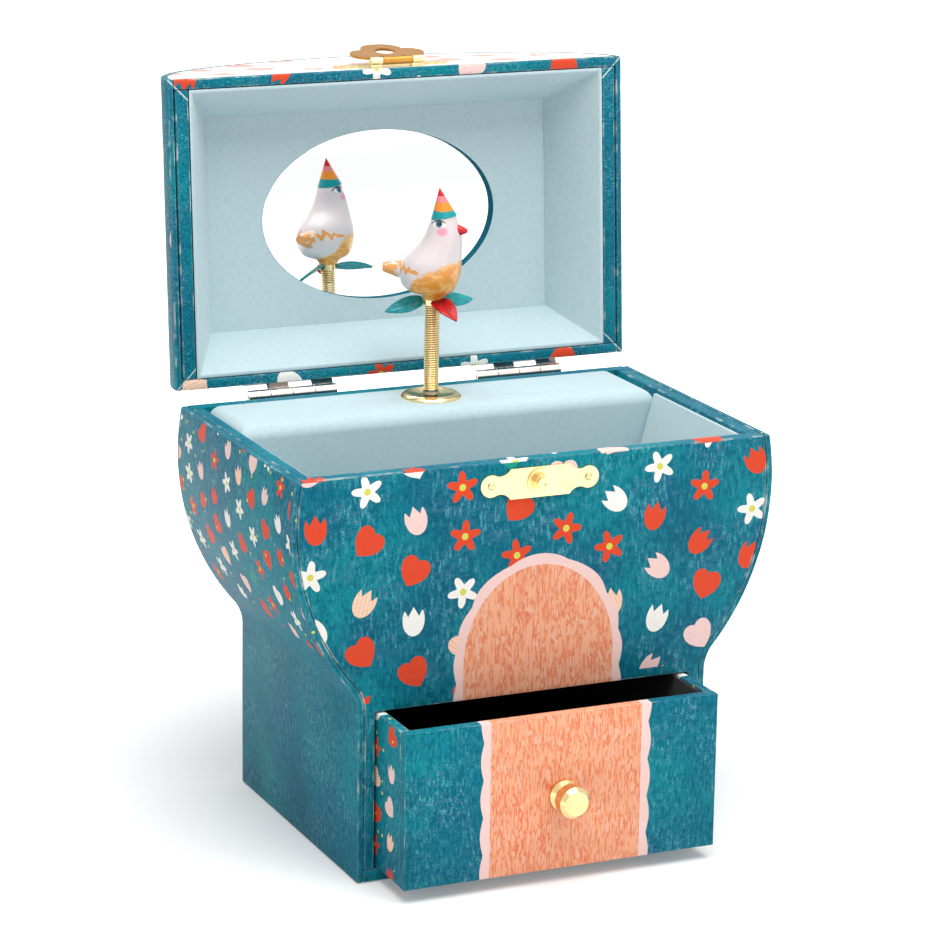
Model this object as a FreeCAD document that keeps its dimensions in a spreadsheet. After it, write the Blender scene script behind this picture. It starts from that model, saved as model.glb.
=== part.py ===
import FreeCAD, Part
import math
import os
import re
import Sketcher
from FreeCAD import Placement, Rotation, Vector

# Musical jewellery box with a spring-mounted bird. Millimetres, +Z up, front towards -Y.
# The origin is the middle of the base. The lid stands open and the drawer is partly pulled out.

sizes = {
    # case
    "rim_width": 160, "case_depth": 100, "rim_height": 130, "base_width": 118.6,
    "belly_height": 115, "flare_radius": 80, "waist_radius": 12,
    "side_card": 2, "end_board": 4.5, "base_thick": 4, "bay_top": 54.9, "shelf_thick": 3.5,
    "glue_gap": 0.1,
    # inner tray, its flocked lining and the deck over the movement
    "tray_rim_half": 74, "tray_floor_half": 54.8, "wall_foot": 1, "tray_wall": 2.4, "rim_lip": 8,
    "lip_slope": 4, "lining": 1.2, "lining_drop": 1.2,
    "deck_front": 16, "deck_wall": 2.5, "deck_rise": 0.2, "deck_round": 4.5,
    "post_inset": 12.5, "bezel_radius": 9.8, "bezel_edge": 0.4, "bezel_rise": 1.4,
    "bezel_lip": 2.2, "bezel_dish": 0.7, "bezel_inner": 3.4,
    # drawer
    "guide_thick": 3.5, "drawer_gap": 0.8, "drawer_lift": 0.4, "drawer_drop": 0.5,
    "drawer_front_thick": 3.5, "drawer_wall": 3, "drawer_floor": 2.5, "drawer_lining": 0.8,
    "drawer_back_gap": 1.5, "drawer_pull": 21.4,
    "knob_height": 28.5, "knob_stem": 1.6, "knob_neck": 2.9, "knob_flange": 4.9, "knob_head": 5.1,
    "knob_long": 10, "knob_flange_thick": 1.4, "knob_bevel": 1.2, "knob_head_long": 5,
    # lid
    "lid_gap": 0.4, "lid_rise": 50, "arch_end_radius": 36, "lid_board": 3.4, "lid_rim": 7,
    "rail_height": 5, "liner_card": 1.2, "liner_depth": 20, "liner_taper": 11.3, "liner_lean": 10.2,
    "ceiling_card": 2, "mirror_width": 83, "mirror_height": 56, "mirror_lap": 3, "mirror_thick": 2,
    "lid_open": 94,
    # butt hinges
    "hinge_back": 3.6, "hinge_offset": 40.5, "hinge_long": 31, "leaf_thick": 0.8, "leaf_height": 9,
    "leaf_drop": 3.2, "knuckle_radius": 1.9, "pin_radius": 1, "pin_gap": 0.06, "knuckle_gap": 0.3,
    "web_inner": 0.9, "web_outer": 0.1, "web_reach": 1.3,
    # clasp
    "plate_thick": 0.8, "plate_mid_half": 10, "plate_high": 4.8, "lobe_place": 16.4, "lobe_radius": 3.5,
    "lobe_cut": 3, "scallop_radius": 4, "strike_drop": 7.3, "boss_radius": 4.3, "boss_thick": 0.6,
    "stud_radius": 2.9, "stud_long": 3.4, "stud_step": 0.9, "stud_cap": 2.3, "stud_pit": 0.5,
    "pit_depth": 0.5,
    "hasp_mount_rise": 8.2, "hasp_axis_rise": 2.6, "hasp_stand": 1.5, "hasp_knuckle": 1.3,
    "hasp_knuckle_half": 5, "hasp_pin": 0.6, "ear_long": 4, "hasp_thick": 0.8, "hasp_half": 12.5,
    "hasp_arm": 3.4, "hasp_lobe": 5.4, "hasp_tip": 6.2, "hasp_hole_gap": 0.45, "hasp_flip": 170,
    # movement
    "barrel_height": 20.6, "bedplate_thick": 3, "bed_left": 24, "bed_right": 30, "bed_below": 17,
    "bed_above": 46.5, "crown_pitch": 12, "crown_teeth": 40, "pinion_teeth": 10, "addendum": 0.5,
    "dedendum": 0.65, "crown_disc": 1.8, "crown_face": 1.1, "pinion_face": 2.6, "tooth_share": 0.36,
    "crown_share": 0.27,
    "drum_radius": 9.6, "drum_wall": 0.8, "drum_long": 15.4, "spring_turns": 6, "spring_strip": 0.35,
    "spring_hub": 2.6, "strip_margin": 0.6, "arbor_radius": 2, "arbor_pivot": 1.2, "fit_gap": 0.05,
    "bridge_half": 15, "bridge_metal": 1.5, "bridge_height": 10, "bridge_front_gap": 0.4,
    "key_hole": 3.2, "key_hub": 3.4, "key_clear": 1, "key_long": 9, "key_bore": 7, "key_half": 12,
    "key_lobe": 6, "key_metal": 1.8, "key_eye": 2.6, "key_eye_place": 6.4,
    "shaft_radius": 1.25, "bore_clear": 0.5, "shaft_tail": 0.6, "shaft_stub": 1.5, "stub_long": 2,
    "seat_radius": 2.6, "seat_thick": 1, "seat_gap": 0.3,
    "bracket_metal": 2, "bracket_half": 4.5, "bracket_nose": 4, "bracket_gap": 1.2, "cylinder_long": 20,
    "cylinder_radius": 6.5, "cylinder_wall": 0.8, "cylinder_cap": 1, "note_count": 18,
    "note_pitch": 1.08, "note_rounds": 2, "note_turn": 137.5, "note_pin": 0.2, "pin_stand": 0.45,
    "comb_tip_gap": 0.2, "comb_metal": 1, "tooth_width": 0.72, "tooth_long": 14, "comb_heel": 8,
    "comb_slant": 5, "comb_base_gap": 2, "comb_margin": 1.6, "screw_radius": 1, "screw_head": 1.9,
    "screw_head_thick": 1.1, "screw_clear": 0.1, "comb_screw_long": 5, "bed_screw_long": 6.4,
    "bed_screw_margin": 7.4,
    "drive_teeth": 30, "drive_pitch": 7.5, "drive_face": 1.5, "governor_teeth": 10,
    "worm_wheel_teeth": 12, "worm_wheel_pitch": 3, "worm_wheel_face": 1.5, "staff_radius": 0.7,
    "worm_root": 1.2, "worm_tip": 2.2, "worm_centre": 2.3, "worm_turns": 4, "thread_root": 0.4,
    "thread_tip": 0.16, "fan_radius": 4, "fan_wing": 3, "fan_metal": 0.4, "fan_hub": 1.5,
    "frame_metal": 1.5, "frame_gap": 0.6, "frame_side": 6.2, "frame_lap": 2, "worm_front": 10,
    "worm_back": 9,
    # spring post and figure
    "post_long": 28.6, "post_radius": 2.5, "post_wire": 0.9, "post_turns": 20,
    "stem_radius": 1.55, "stem_long": 5, "collar_radius": 2.9, "collar_thick": 1.8,
    "leaf_long": 13, "leaf_wide": 7.5, "leaf_metal": 0.9, "leaf_gap": 0.05, "figure_turn": 34,
    "left_heading": 190, "left_fall": 14, "left_roll": 30, "right_heading": 42, "right_lift": 2,
    "right_roll": 25, "red_heading": 39, "red_fall": 22, "red_roll": 8, "red_long": 10.4,
    "foot_radius": 3.1, "seat_rise": 2.4, "hip_radius": 6.2, "belly_rise": 4.5, "belly_back": 0.9,
    "belly_radius": 8.8, "breast_rise": 8.8, "breast_back": 0.8, "breast_radius": 9.9,
    "wing_rise": 12.5, "wing_back": 0.1, "wing_radius": 9.5, "neck_rise": 16.8, "neck_shift": 1.8,
    "neck_radius": 7.6, "cheek_rise": 20.5, "cheek_shift": 3.2, "cheek_radius": 6.1,
    "brow_rise": 24.2, "head_shift": 3.5, "brow_radius": 4.9, "crown_rise": 27, "crown_radius": 4,
    "tail_root": 4, "tail_root_radius": 4.6, "tail_root_rise": 8.6, "tail_reach": 16.2,
    "tail_tip_radius": 1.6, "tail_tip_rise": 9.8,
    "beak_rise": 22.8, "beak_shift": 7.7, "beak_radius": 1.7, "beak_long": 3.3, "beak_gap": 0.05,
    "hat_radius": 4.2, "hat_long": 9.7, "hat_gap": 0.05, "hat_tilt": 9,
}

terms = {
    "half_rim": "rim_width / 2", "half_base": "base_width / 2", "half_depth": "case_depth / 2",
    "flare_x": "half_rim - sqrt(flare_radius^2 - (rim_height - belly_height)^2)",
    "blend_x": "half_base + waist_radius", "blend_reach": "flare_radius + waist_radius",
    "blend_z": "belly_height - sqrt(blend_reach^2 - (blend_x - flare_x)^2)",
    "inside_y": "half_depth - end_board", "base_half": "half_base - side_card - glue_gap",
    "bay_half": "base_half - guide_thick", "shelf_top": "bay_top + shelf_thick",
    "foot_z": "max(shelf_top; blend_z) + wall_foot",
    "tray_slope": "(tray_rim_half - tray_floor_half) / (rim_height - foot_z)",
    "floor_top": "shelf_top + lining", "deck_top": "rim_height + deck_rise",
    "post_y": "inside_y - post_inset", "bore_radius": "shaft_radius + bore_clear",
    "lid_base": "rim_height + lid_gap", "hinge_y": "half_depth + hinge_back",
    "hinge_z": "rim_height + lid_gap / 2",
    "arch_end_x": "half_rim - arch_end_radius",
    "arch_radius": "(half_rim^2 + lid_rise^2 - 2 * half_rim * arch_end_radius)"
                   " / (2 * (lid_rise - arch_end_radius))",
    "arch_drop": "arch_radius - lid_rise", "arch_reach": "arch_radius - arch_end_radius",
    "liner_x": "half_rim - lid_rim", "liner_y": "half_depth - lid_board",
    "ceiling_base": "lid_base + liner_depth", "knuckle_long": "hinge_long / 4",
    "strike_z": "rim_height - strike_drop", "hasp_axis_z": "lid_base + hasp_axis_rise",
    "hasp_axis_y": "half_depth + plate_thick + hasp_stand",
    "drawer_half": "bay_half - drawer_gap", "drawer_base": "base_thick + drawer_lift",
    "drawer_top": "bay_top - drawer_drop", "drawer_end": "inside_y - drawer_back_gap",
    "bed_face": "inside_y - bedplate_thick",
    "pinion_pitch": "crown_pitch * pinion_teeth / crown_teeth",
    "crown_root_y": "post_y + pinion_pitch + dedendum",
    "bridge_front": "deck_front + deck_wall + bridge_front_gap",
    "barrel_z": "shelf_top + barrel_height", "pinion_z": "barrel_z + crown_pitch",
    "low_bracket_z": "pinion_z + pinion_face / 2 + bracket_gap",
    "cylinder_z": "low_bracket_z + bracket_metal + bracket_gap",
    "drive_z": "cylinder_z + cylinder_long + bracket_gap",
    "high_bracket_z": "drive_z + drive_face + bracket_gap",
    "governor_pitch": "drive_pitch * governor_teeth / drive_teeth",
    "governor_x": "0 - drive_pitch - governor_pitch",
    "worm_wheel_z": "high_bracket_z + bracket_gap",
    "worm_z": "worm_wheel_z + worm_wheel_face / 2",
    "worm_x": "governor_x - worm_wheel_pitch - worm_centre",
    "seat_z": "deck_top + bezel_dish + seat_gap", "post_base": "seat_z + seat_thick",
    "post_top": "post_base + post_long", "bird_base": "post_top + collar_thick",
    "comb_tip_x": "cylinder_radius + pin_stand + comb_tip_gap",
    "comb_high": "note_count * note_pitch",
}

doc = FreeCAD.newDocument("musical_jewellery_box")
sheet = doc.addObject("Spreadsheet::Sheet", "dims")
for row, (alias, size) in enumerate(sizes.items(), start=1):
    sheet.set("A%d" % row, str(size))
    sheet.setAlias("A%d" % row, alias)
doc.recompute()
nodes = []


def text(formula):
    # A formula in the sheet's words, with every derived term written out.
    def word(match):
        name = match.group(0)
        if name in terms:
            return "(" + text(terms[name]) + ")"
        return "dims." + name if name in sizes else name
    return re.sub(r"[a-z_]+", word, formula)


def num(formula):
    return float(sheet.evalExpression(text(formula)))


def minus(formula):
    return "-1 * (%s)" % formula


def new_body(label):
    body = doc.addObject("PartDesign::Body", label)
    body.Label = label
    return body


def keep(piece, pose=None):
    # A finished sub-part, moved with its assembly where that isn't in its drawn place.
    if pose:
        piece.Placement = pose.multiply(piece.Placement)
    nodes.append(piece)
    return piece


def group(label, pieces):
    # Equal pieces that share one file.
    joined = doc.addObject("Part::Compound", label)
    joined.Label = label
    joined.Links = pieces
    return keep(joined)


def new_sketch(body, plane, offset="0"):
    # Sketches on XZ_Plane look from the front, and their offset runs towards the front.
    sketch = body.newObject("Sketcher::SketchObject", "Sketch")
    support = [item for item in body.Origin.OriginFeatures if item.Role == plane][0]
    sketch.AttachmentSupport = [(support, "")]
    sketch.MapMode = "FlatFace"
    sketch.setExpression("AttachmentOffset.Base.z", text(offset))
    return sketch


def arc_middle(start, end, turn, radius):
    chord = end - start
    side = Vector(-chord.y, chord.x, 0).normalize()
    rise = math.sqrt(max(radius ** 2 - (chord.Length / 2) ** 2, 0))
    left = turn.startswith("ccw") != turn.endswith("large")
    centre = (start + end) / 2 + side * (rise if left else -rise)
    return centre + side * (-radius if turn.startswith("ccw") else radius)


def tie(sketch, kind, item, point, formula):
    index = sketch.addConstraint(Sketcher.Constraint(kind, -1, 1, item, point, num(formula)))
    sketch.setExpression("Constraints[%d]" % index, text(formula))


def tie_radius(sketch, item, formula):
    index = sketch.addConstraint(Sketcher.Constraint("Radius", item, num(formula)))
    sketch.setExpression("Constraints[%d]" % index, text(formula))


def add_loop(sketch, corners):
    # A closed outline. A corner may carry the turn and radius of the arc that leaves it.
    first = sketch.GeometryCount
    count = len(corners)
    places = [Vector(num(corner[0]), num(corner[1]), 0) for corner in corners]
    for index, corner in enumerate(corners):
        start = places[index]
        end = places[(index + 1) % count]
        if len(corner) > 2:
            middle = arc_middle(start, end, corner[2], num(corner[3]))
            ends = (start, end) if corner[2].startswith("ccw") else (end, start)
            sketch.addGeometry(Part.Arc(ends[0], middle, ends[1]), False)
        else:
            sketch.addGeometry(Part.LineSegment(start, end), False)

    def end_at(item, place):
        return 1 if (sketch.Geometry[item].StartPoint - place).Length < 1e-6 else 2

    for index in range(count):
        item = first + index
        before = first + (index - 1) % count
        place = places[index]
        own_end = end_at(item, place)
        joint = Sketcher.Constraint("Coincident", before, end_at(before, place), item, own_end)
        sketch.addConstraint(joint)
        tie(sketch, "DistanceX", item, own_end, corners[index][0])
        tie(sketch, "DistanceY", item, own_end, corners[index][1])
        if len(corners[index]) > 2:
            tie_radius(sketch, item, corners[index][3])
    return sketch


def add_circle(sketch, x, y, radius):
    centre = Vector(num(x), num(y), 0)
    item = sketch.addGeometry(Part.Circle(centre, Vector(0, 0, 1), num(radius)), False)
    tie(sketch, "DistanceX", item, 3, x)
    tie(sketch, "DistanceY", item, 3, y)
    tie_radius(sketch, item, radius)
    return sketch


def pad(body, sketch, length, both_ways=False):
    feature = body.newObject("PartDesign::Pad", "Pad")
    feature.Profile = sketch
    feature.Midplane = both_ways
    feature.setExpression("Length", text(length))
    return feature


def pocket(body, sketch, depth=None):
    # Right through without a depth, else along the sketch's own direction.
    feature = body.newObject("PartDesign::Pocket", "Pocket")
    feature.Profile = sketch
    if depth:
        feature.Reversed = True
        feature.setExpression("Length", text(depth))
    else:
        feature.Type = "ThroughAll"
        feature.Midplane = True
    return feature


def rectangle(x_low, x_high, y_low, y_high):
    return [(x_low, y_low), (x_high, y_low), (x_high, y_high), (x_low, y_high)]


def plank(label, x, y, z):
    # A board between two faces in each direction.
    body = new_body(label)
    sketch = add_loop(new_sketch(body, "XY_Plane", z[0]), rectangle(*x, *y))
    pad(body, sketch, "%s - (%s)" % (z[1], z[0]))
    return body


def turned(label, corners, bottom=None, rotation=Rotation()):
    # A lathe-turned piece: corners are radius and height, from its bottom point along its axis.
    body = new_body(label)
    sketch = add_loop(new_sketch(body, "XZ_Plane"), corners)
    spin(body, sketch)
    if bottom:
        body.Placement = Placement(Vector(*[num(value) for value in bottom]), rotation)
    return body


def spin(body, sketch):
    feature = body.newObject("PartDesign::Revolution", "Revolution")
    feature.Profile = sketch
    feature.ReferenceAxis = (sketch, ["V_Axis"])
    feature.Angle = 360
    return feature


def polar(body, sketch, feature, copies):
    pattern = body.newObject("PartDesign::PolarPattern", "PolarPattern")
    pattern.Originals = [feature]
    pattern.Axis = (sketch, ["N_Axis"])
    pattern.Angle = 360
    pattern.setExpression("Occurrences", text(copies))
    body.Tip = pattern
    return pattern


to_front = Rotation(Vector(1, 0, 0), 90)
to_back = Rotation(Vector(1, 0, 0), -90)
half_turn = Placement(Vector(), Rotation(Vector(0, 0, 1), 180))
drawer_pose = Placement(Vector(0, -num("drawer_pull"), 0), Rotation())
lid_hinge = Vector(0, num("hinge_y"), num("hinge_z"))
lid_pose = Placement(Vector(), Rotation(Vector(1, 0, 0), -num("lid_open")), lid_hinge)
hasp_hinge = Vector(0, -num("hasp_axis_y"), num("hasp_axis_z"))
flip = Placement(Vector(), Rotation(Vector(1, 0, 0), -num("hasp_flip")), hasp_hinge)
hasp_pose = lid_pose.multiply(flip)
figure_axis = Vector(0, num("post_y"), 0)
figure_pose = Placement(Vector(), Rotation(Vector(0, 0, 1), -num("figure_turn")), figure_axis)
hat_lean = Rotation(Vector(0, 1, 0), -num("hat_tilt"))


# Case

def case_flank(inset, foot):
    # The right flank from the foot to the rim: upright, a hollow waist, then the flare.
    flare = "flare_radius - %s" % inset
    share = "(%s) / blend_reach" % flare
    waist = ("flare_x + (blend_x - flare_x) * %s" % share,
             "belly_height - (belly_height - blend_z) * %s" % share)
    rim = "flare_x + sqrt((%s)^2 - (rim_height - belly_height)^2)" % flare
    upright = "half_base - %s" % inset
    hollow = "waist_radius + %s" % inset
    return [(upright, foot), (upright, "blend_z"), waist, (rim, "rim_height")], hollow, flare


def end_outline(inset, foot):
    flank, hollow, flare = case_flank(inset, foot)
    mirrored = [(minus(x), z) for x, z in reversed(flank)]
    right = [flank[0], flank[1] + ("cw", hollow), flank[2] + ("ccw", flare), flank[3]]
    left = [mirrored[0] + ("ccw", flare), mirrored[1] + ("cw", hollow), mirrored[2], mirrored[3]]
    return right + left


def side_card(label, pose=None):
    body = new_body(label)
    outer, hollow, flare = case_flank("0", "0")
    inner, inner_hollow, inner_flare = case_flank("side_card", "0")
    corners = [outer[0], outer[1] + ("cw", hollow), outer[2] + ("ccw", flare), outer[3]]
    corners += [inner[3] + ("cw", inner_flare), inner[2] + ("ccw", inner_hollow), inner[1], inner[0]]
    pad(body, add_loop(new_sketch(body, "XZ_Plane"), corners), "case_depth", True)
    return keep(body, pose)


def end_panel(label, offset):
    body = new_body(label)
    corners = end_outline("(side_card + glue_gap)", "base_thick")
    pad(body, add_loop(new_sketch(body, "XZ_Plane", offset), corners), "end_board")
    return body


def front_panel():
    body = end_panel("front_panel", "inside_y")
    mouth = rectangle(minus("bay_half"), "bay_half", "base_thick - end_board", "bay_top")
    pocket(body, add_loop(new_sketch(body, "XZ_Plane"), mouth))
    keep(body)


bed_screws = [(x, z) for x in ("bed_screw_margin - bed_left", "bed_right - bed_screw_margin")
              for z in ("barrel_z - bed_below + bed_screw_margin",
                        "barrel_z + bed_above - bed_screw_margin")]


def back_panel():
    body = end_panel("back_panel", minus("half_depth"))
    holes = add_circle(new_sketch(body, "XZ_Plane"), "0", "barrel_z", "key_hole")
    for x, z in bed_screws:
        add_circle(holes, x, z, "screw_radius + screw_clear")
    pocket(body, holes)
    keep(body)


def tray_half(height):
    return "(tray_floor_half + (%s - foot_z) * tray_slope)" % height


def tray_wall(label, pose=None):
    # A leaning board with an upright foot, which widens into the flat rim at its top.
    body = new_body(label)
    lip = "rim_height - rim_lip"
    throat = "rim_height - rim_lip - lip_slope"
    rim_side = "flare_x + sqrt((flare_radius - side_card)^2 - (rim_height - belly_height)^2) - glue_gap"
    corners = [("tray_rim_half", "rim_height"), ("tray_floor_half", "foot_z"),
               ("tray_floor_half", "shelf_top"), ("tray_floor_half + tray_wall", "shelf_top"),
               ("tray_floor_half + tray_wall", "foot_z"),
               (tray_half(throat) + " + tray_wall", throat), (rim_side, lip), (rim_side, "rim_height")]
    pad(body, add_loop(new_sketch(body, "XZ_Plane"), corners), "2 * inside_y", True)
    return keep(body, pose)


def lining_edge(height, inset):
    return tray_half(height) + " - glue_gap - " + inset


def front_lining():
    body = new_body("front_lining")
    top = "rim_height - lining_drop"
    low = lining_edge("shelf_top", "0")
    high = lining_edge(top, "0")
    corners = [(minus(low), "shelf_top"), (low, "shelf_top"), (high, top), (minus(high), top)]
    pad(body, add_loop(new_sketch(body, "XZ_Plane", "inside_y - lining"), corners), "lining")
    keep(body)


def side_lining(label, side):
    body = new_body(label)
    top = "rim_height - lining_drop"
    corners = [(side + lining_edge("shelf_top", "lining") + ")", "shelf_top"),
               (side + lining_edge("shelf_top", "0") + ")", "shelf_top"),
               (side + lining_edge(top, "0") + ")", top),
               (side + lining_edge(top, "lining") + ")", top)]
    sketch = new_sketch(body, "XZ_Plane", minus("deck_front - glue_gap"))
    pad(body, add_loop(sketch, corners), "inside_y - lining + deck_front - 2 * glue_gap")
    keep(body)


def deck_cover():
    # A padded hood over the movement, open at the back and below.
    body = new_body("deck_cover")
    low = lining_edge("shelf_top", "0")
    high = lining_edge("deck_top", "0")
    outer = [(minus(low), "shelf_top"), (low, "shelf_top"), (high, "deck_top"), (minus(high), "deck_top")]
    sketch = add_loop(new_sketch(body, "XZ_Plane", minus("inside_y - glue_gap")), outer)
    block = pad(body, sketch, "inside_y - glue_gap - deck_front")
    doc.recompute()
    top = num("deck_top")
    front = num("deck_front")
    rounded = []
    for index, edge in enumerate(block.Shape.Edges, start=1):
        box = edge.BoundBox
        if abs(box.ZMin - top) < 0.01 and (abs(box.YMax - front) < 0.01 or box.YLength > 1):
            rounded.append("Edge%d" % index)
    fillet = body.newObject("PartDesign::Fillet", "Fillet")
    fillet.Base = (block, rounded)
    fillet.setExpression("Radius", text("deck_round"))
    hollow_low = lining_edge("shelf_top", "deck_wall")
    hollow_high = lining_edge("(deck_top - deck_wall)", "deck_wall")
    hollow = [(minus(hollow_low), "shelf_top - deck_wall"), (hollow_low, "shelf_top - deck_wall"),
              (hollow_high, "deck_top - deck_wall"), (minus(hollow_high), "deck_top - deck_wall")]
    sketch = add_loop(new_sketch(body, "XZ_Plane", minus("inside_y")), hollow)
    pocket(body, sketch, "inside_y - deck_front - deck_wall")
    pocket(body, add_circle(new_sketch(body, "XY_Plane"), "0", "post_y", "bore_radius"))
    keep(body)


def deck_bezel():
    # An eyelet with a rolled outer lip and a dished middle.
    corners = [("bore_radius", "0"), ("bezel_radius", "0"),
               ("bezel_radius", "bezel_edge", "ccw", "bezel_lip"),
               ("bezel_radius - bezel_lip", "bezel_rise"), ("bezel_inner", "bezel_dish"),
               ("bore_radius", "bezel_dish")]
    keep(turned("deck_bezel", corners, ("0", "post_y", "deck_top")))


def case():
    base_y = (minus("half_depth"), "half_depth")
    inner_y = (minus("inside_y"), "inside_y")
    base_x = (minus("base_half"), "base_half")
    keep(plank("base_board", base_x, base_y, ("0", "base_thick")))
    side_card("right_side_card")
    side_card("left_side_card", half_turn)
    front_panel()
    back_panel()
    guide_z = ("base_thick", "bay_top")
    guides = [plank("guide_left", (minus("base_half"), minus("bay_half")), inner_y, guide_z),
              plank("guide_right", ("bay_half", "base_half"), inner_y, guide_z)]
    group("drawer_guides", guides)
    keep(plank("drawer_bay_shelf", base_x, inner_y, ("bay_top", "shelf_top")))
    tray_wall("right_tray_wall")
    tray_wall("left_tray_wall", half_turn)
    floor_half = lining_edge("shelf_top", "lining - glue_gap")
    floor_x = (minus(floor_half), floor_half)
    floor_y = (minus("inside_y - lining - glue_gap"), "deck_front - glue_gap")
    keep(plank("floor_lining", floor_x, floor_y, ("shelf_top", "floor_top")))
    front_lining()
    side_lining("left_lining", "-1 * (")
    side_lining("right_lining", "(")
    deck_cover()
    deck_bezel()


# Drawer

def drawer():
    wide = (minus("drawer_half"), "drawer_half")
    inner = ("drawer_wall - drawer_half", "drawer_half - drawer_wall")
    face = "drawer_front_thick - half_depth"
    high = ("drawer_base", "drawer_top")
    front = plank("drawer_front", wide, (minus("half_depth"), face), high)
    pocket(front, add_circle(new_sketch(front, "XZ_Plane"), "0", "knob_height", "knob_stem + fit_gap"))
    keep(front, drawer_pose)
    long = (face, "drawer_end")
    sides = [plank("drawer_left_side", (wide[0], inner[0]), long, high),
             plank("drawer_right_side", (inner[1], wide[1]), long, high)]
    for side in sides:
        side.Placement = drawer_pose
    group("drawer_sides", sides)
    back_face = "drawer_end - drawer_wall"
    keep(plank("drawer_back", inner, (back_face, "drawer_end"), high), drawer_pose)
    floor_top = "drawer_base + drawer_floor"
    keep(plank("drawer_bottom", inner, (face, back_face), ("drawer_base", floor_top)), drawer_pose)
    lined = ("drawer_wall - drawer_half + glue_gap", "drawer_half - drawer_wall - glue_gap")
    lined_y = (face + " + glue_gap", back_face + " - glue_gap")
    lining = plank("drawer_lining", lined, lined_y, (floor_top, "drawer_top - drawer_lining"))
    room = rectangle(lined[0] + " + drawer_lining", lined[1] + " - drawer_lining",
                     lined_y[0] + " + drawer_lining", lined_y[1] + " - drawer_lining")
    sketch = add_loop(new_sketch(lining, "XY_Plane", floor_top + " + drawer_lining"), room)
    pocket(lining, sketch, "drawer_top - (%s)" % floor_top)
    keep(lining, drawer_pose)
    head = "knob_long - knob_head_long"
    corners = [("0", "0 - drawer_front_thick"), ("knob_stem", "0 - drawer_front_thick"), ("knob_stem", "0"),
               ("knob_flange", "0"), ("knob_flange", "knob_flange_thick"),
               ("knob_neck", "knob_flange_thick + knob_bevel"), ("knob_neck", head + " - knob_bevel"),
               ("knob_head", head), ("knob_head", "knob_long - knob_bevel"),
               ("knob_head - knob_bevel", "knob_long"), ("0", "knob_long")]
    knob = turned("drawer_knob", corners, ("0", minus("half_depth"), "knob_height"), to_front)
    keep(knob, drawer_pose)


# Lid, drawn closed

def arch_half(inset):
    foot = ("half_rim - %s" % inset, "lid_base")
    share = "(arch_radius - %s) / arch_reach" % inset
    shoulder = ("arch_end_x * %s" % share, "lid_base - arch_drop + arch_drop * %s" % share)
    return foot, shoulder, "arch_end_radius - %s" % inset, "arch_radius - %s" % inset


def arch_over(inset):
    # From the right foot over the crown to the left foot.
    foot, shoulder, end_radius, crown_radius = arch_half(inset)
    left_shoulder = (minus(shoulder[0]), shoulder[1])
    left_foot = (minus(foot[0]), foot[1])
    return [foot + ("ccw", end_radius), shoulder + ("ccw", crown_radius),
            left_shoulder + ("ccw", end_radius), left_foot]


def lid_arch_card():
    body = new_body("lid_arch_card")
    foot, shoulder, end_radius, crown_radius = arch_half("side_card")
    back = [(minus(foot[0]), foot[1], "cw", end_radius),
            (minus(shoulder[0]), shoulder[1], "cw", crown_radius),
            shoulder + ("cw", end_radius), foot]
    pad(body, add_loop(new_sketch(body, "XZ_Plane"), arch_over("0") + back), "case_depth", True)
    keep(body, lid_pose)


def lid_end_panel(label, offset):
    body = new_body(label)
    corners = arch_over("(side_card + glue_gap)")
    pad(body, add_loop(new_sketch(body, "XZ_Plane", offset), corners), "lid_board")
    keep(body, lid_pose)


def liner_ring(body, wall, role, offset, lean):
    x = "liner_x - %s - liner_taper * %s" % (wall, lean)
    y = "liner_y - %s - liner_lean * %s" % (wall, lean)
    return add_loop(new_sketch(body, role, offset), rectangle(minus(x), x, minus(y), y))


def lid_liner():
    # A folded card tray whose four walls lean in towards the ceiling.
    body = new_body("lid_liner")
    for kind, wall in (("Additive", "glue_gap"), ("Subtractive", "(glue_gap + liner_card)")):
        low = liner_ring(body, wall, "XY_Plane", "lid_base", "0")
        high = liner_ring(body, wall, "XY_Plane", "ceiling_base", "1")
        loft = body.newObject("PartDesign::%sLoft" % kind, kind)
        loft.Profile = low
        loft.Sections = [high]
        loft.Ruled = True
    keep(body, lid_pose)


def oval(label, half_wide, half_high, base, thick):
    rim = doc.addObject("Part::Ellipse", label + "_rim")
    rim.setExpression("MajorRadius", text(half_wide))
    rim.setExpression("MinorRadius", text(half_high))
    rim.setExpression("Placement.Base.z", text(base))
    solid = doc.addObject("Part::Extrusion", label)
    solid.Label = label
    solid.Base = rim
    solid.DirMode = "Custom"
    solid.Dir = Vector(0, 0, 1)
    solid.Solid = True
    solid.setExpression("LengthFwd", text(thick))
    return solid


def lid_ceiling():
    x = "liner_x - liner_taper - glue_gap"
    y = "liner_y - liner_lean - glue_gap"
    top = "ceiling_base + ceiling_card"
    card = plank("ceiling_blank", (minus(x), x), (minus(y), y), ("ceiling_base", top))
    window = oval("ceiling_window", "mirror_width / 2", "mirror_height / 2",
                  "ceiling_base - ceiling_card", "3 * ceiling_card")
    holed = doc.addObject("Part::Cut", "lid_ceiling")
    holed.Label = "lid_ceiling"
    holed.Base = card
    holed.Tool = window
    keep(holed, lid_pose)
    keep(oval("mirror", "mirror_width / 2 + mirror_lap", "mirror_height / 2 + mirror_lap", top,
              "mirror_thick"), lid_pose)


def lid_rails():
    outer = "arch_end_x + sqrt((arch_end_radius - side_card)^2 - rail_height^2) - glue_gap"
    inner_y = (minus("liner_y - glue_gap"), "liner_y - glue_gap")
    high = ("lid_base", "lid_base + rail_height")
    rails = [plank("rail_right", ("liner_x", outer), inner_y, high),
             plank("rail_left", (minus(outer), minus("liner_x")), inner_y, high)]
    for rail in rails:
        rail.Placement = lid_pose
    group("lid_end_rails", rails)


def lid():
    lid_end_panel("lid_front_panel", "half_depth - lid_board")
    lid_end_panel("lid_back_panel", minus("half_depth"))
    lid_arch_card()
    lid_rails()
    lid_liner()
    lid_ceiling()


# Hinges and clasp

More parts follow.
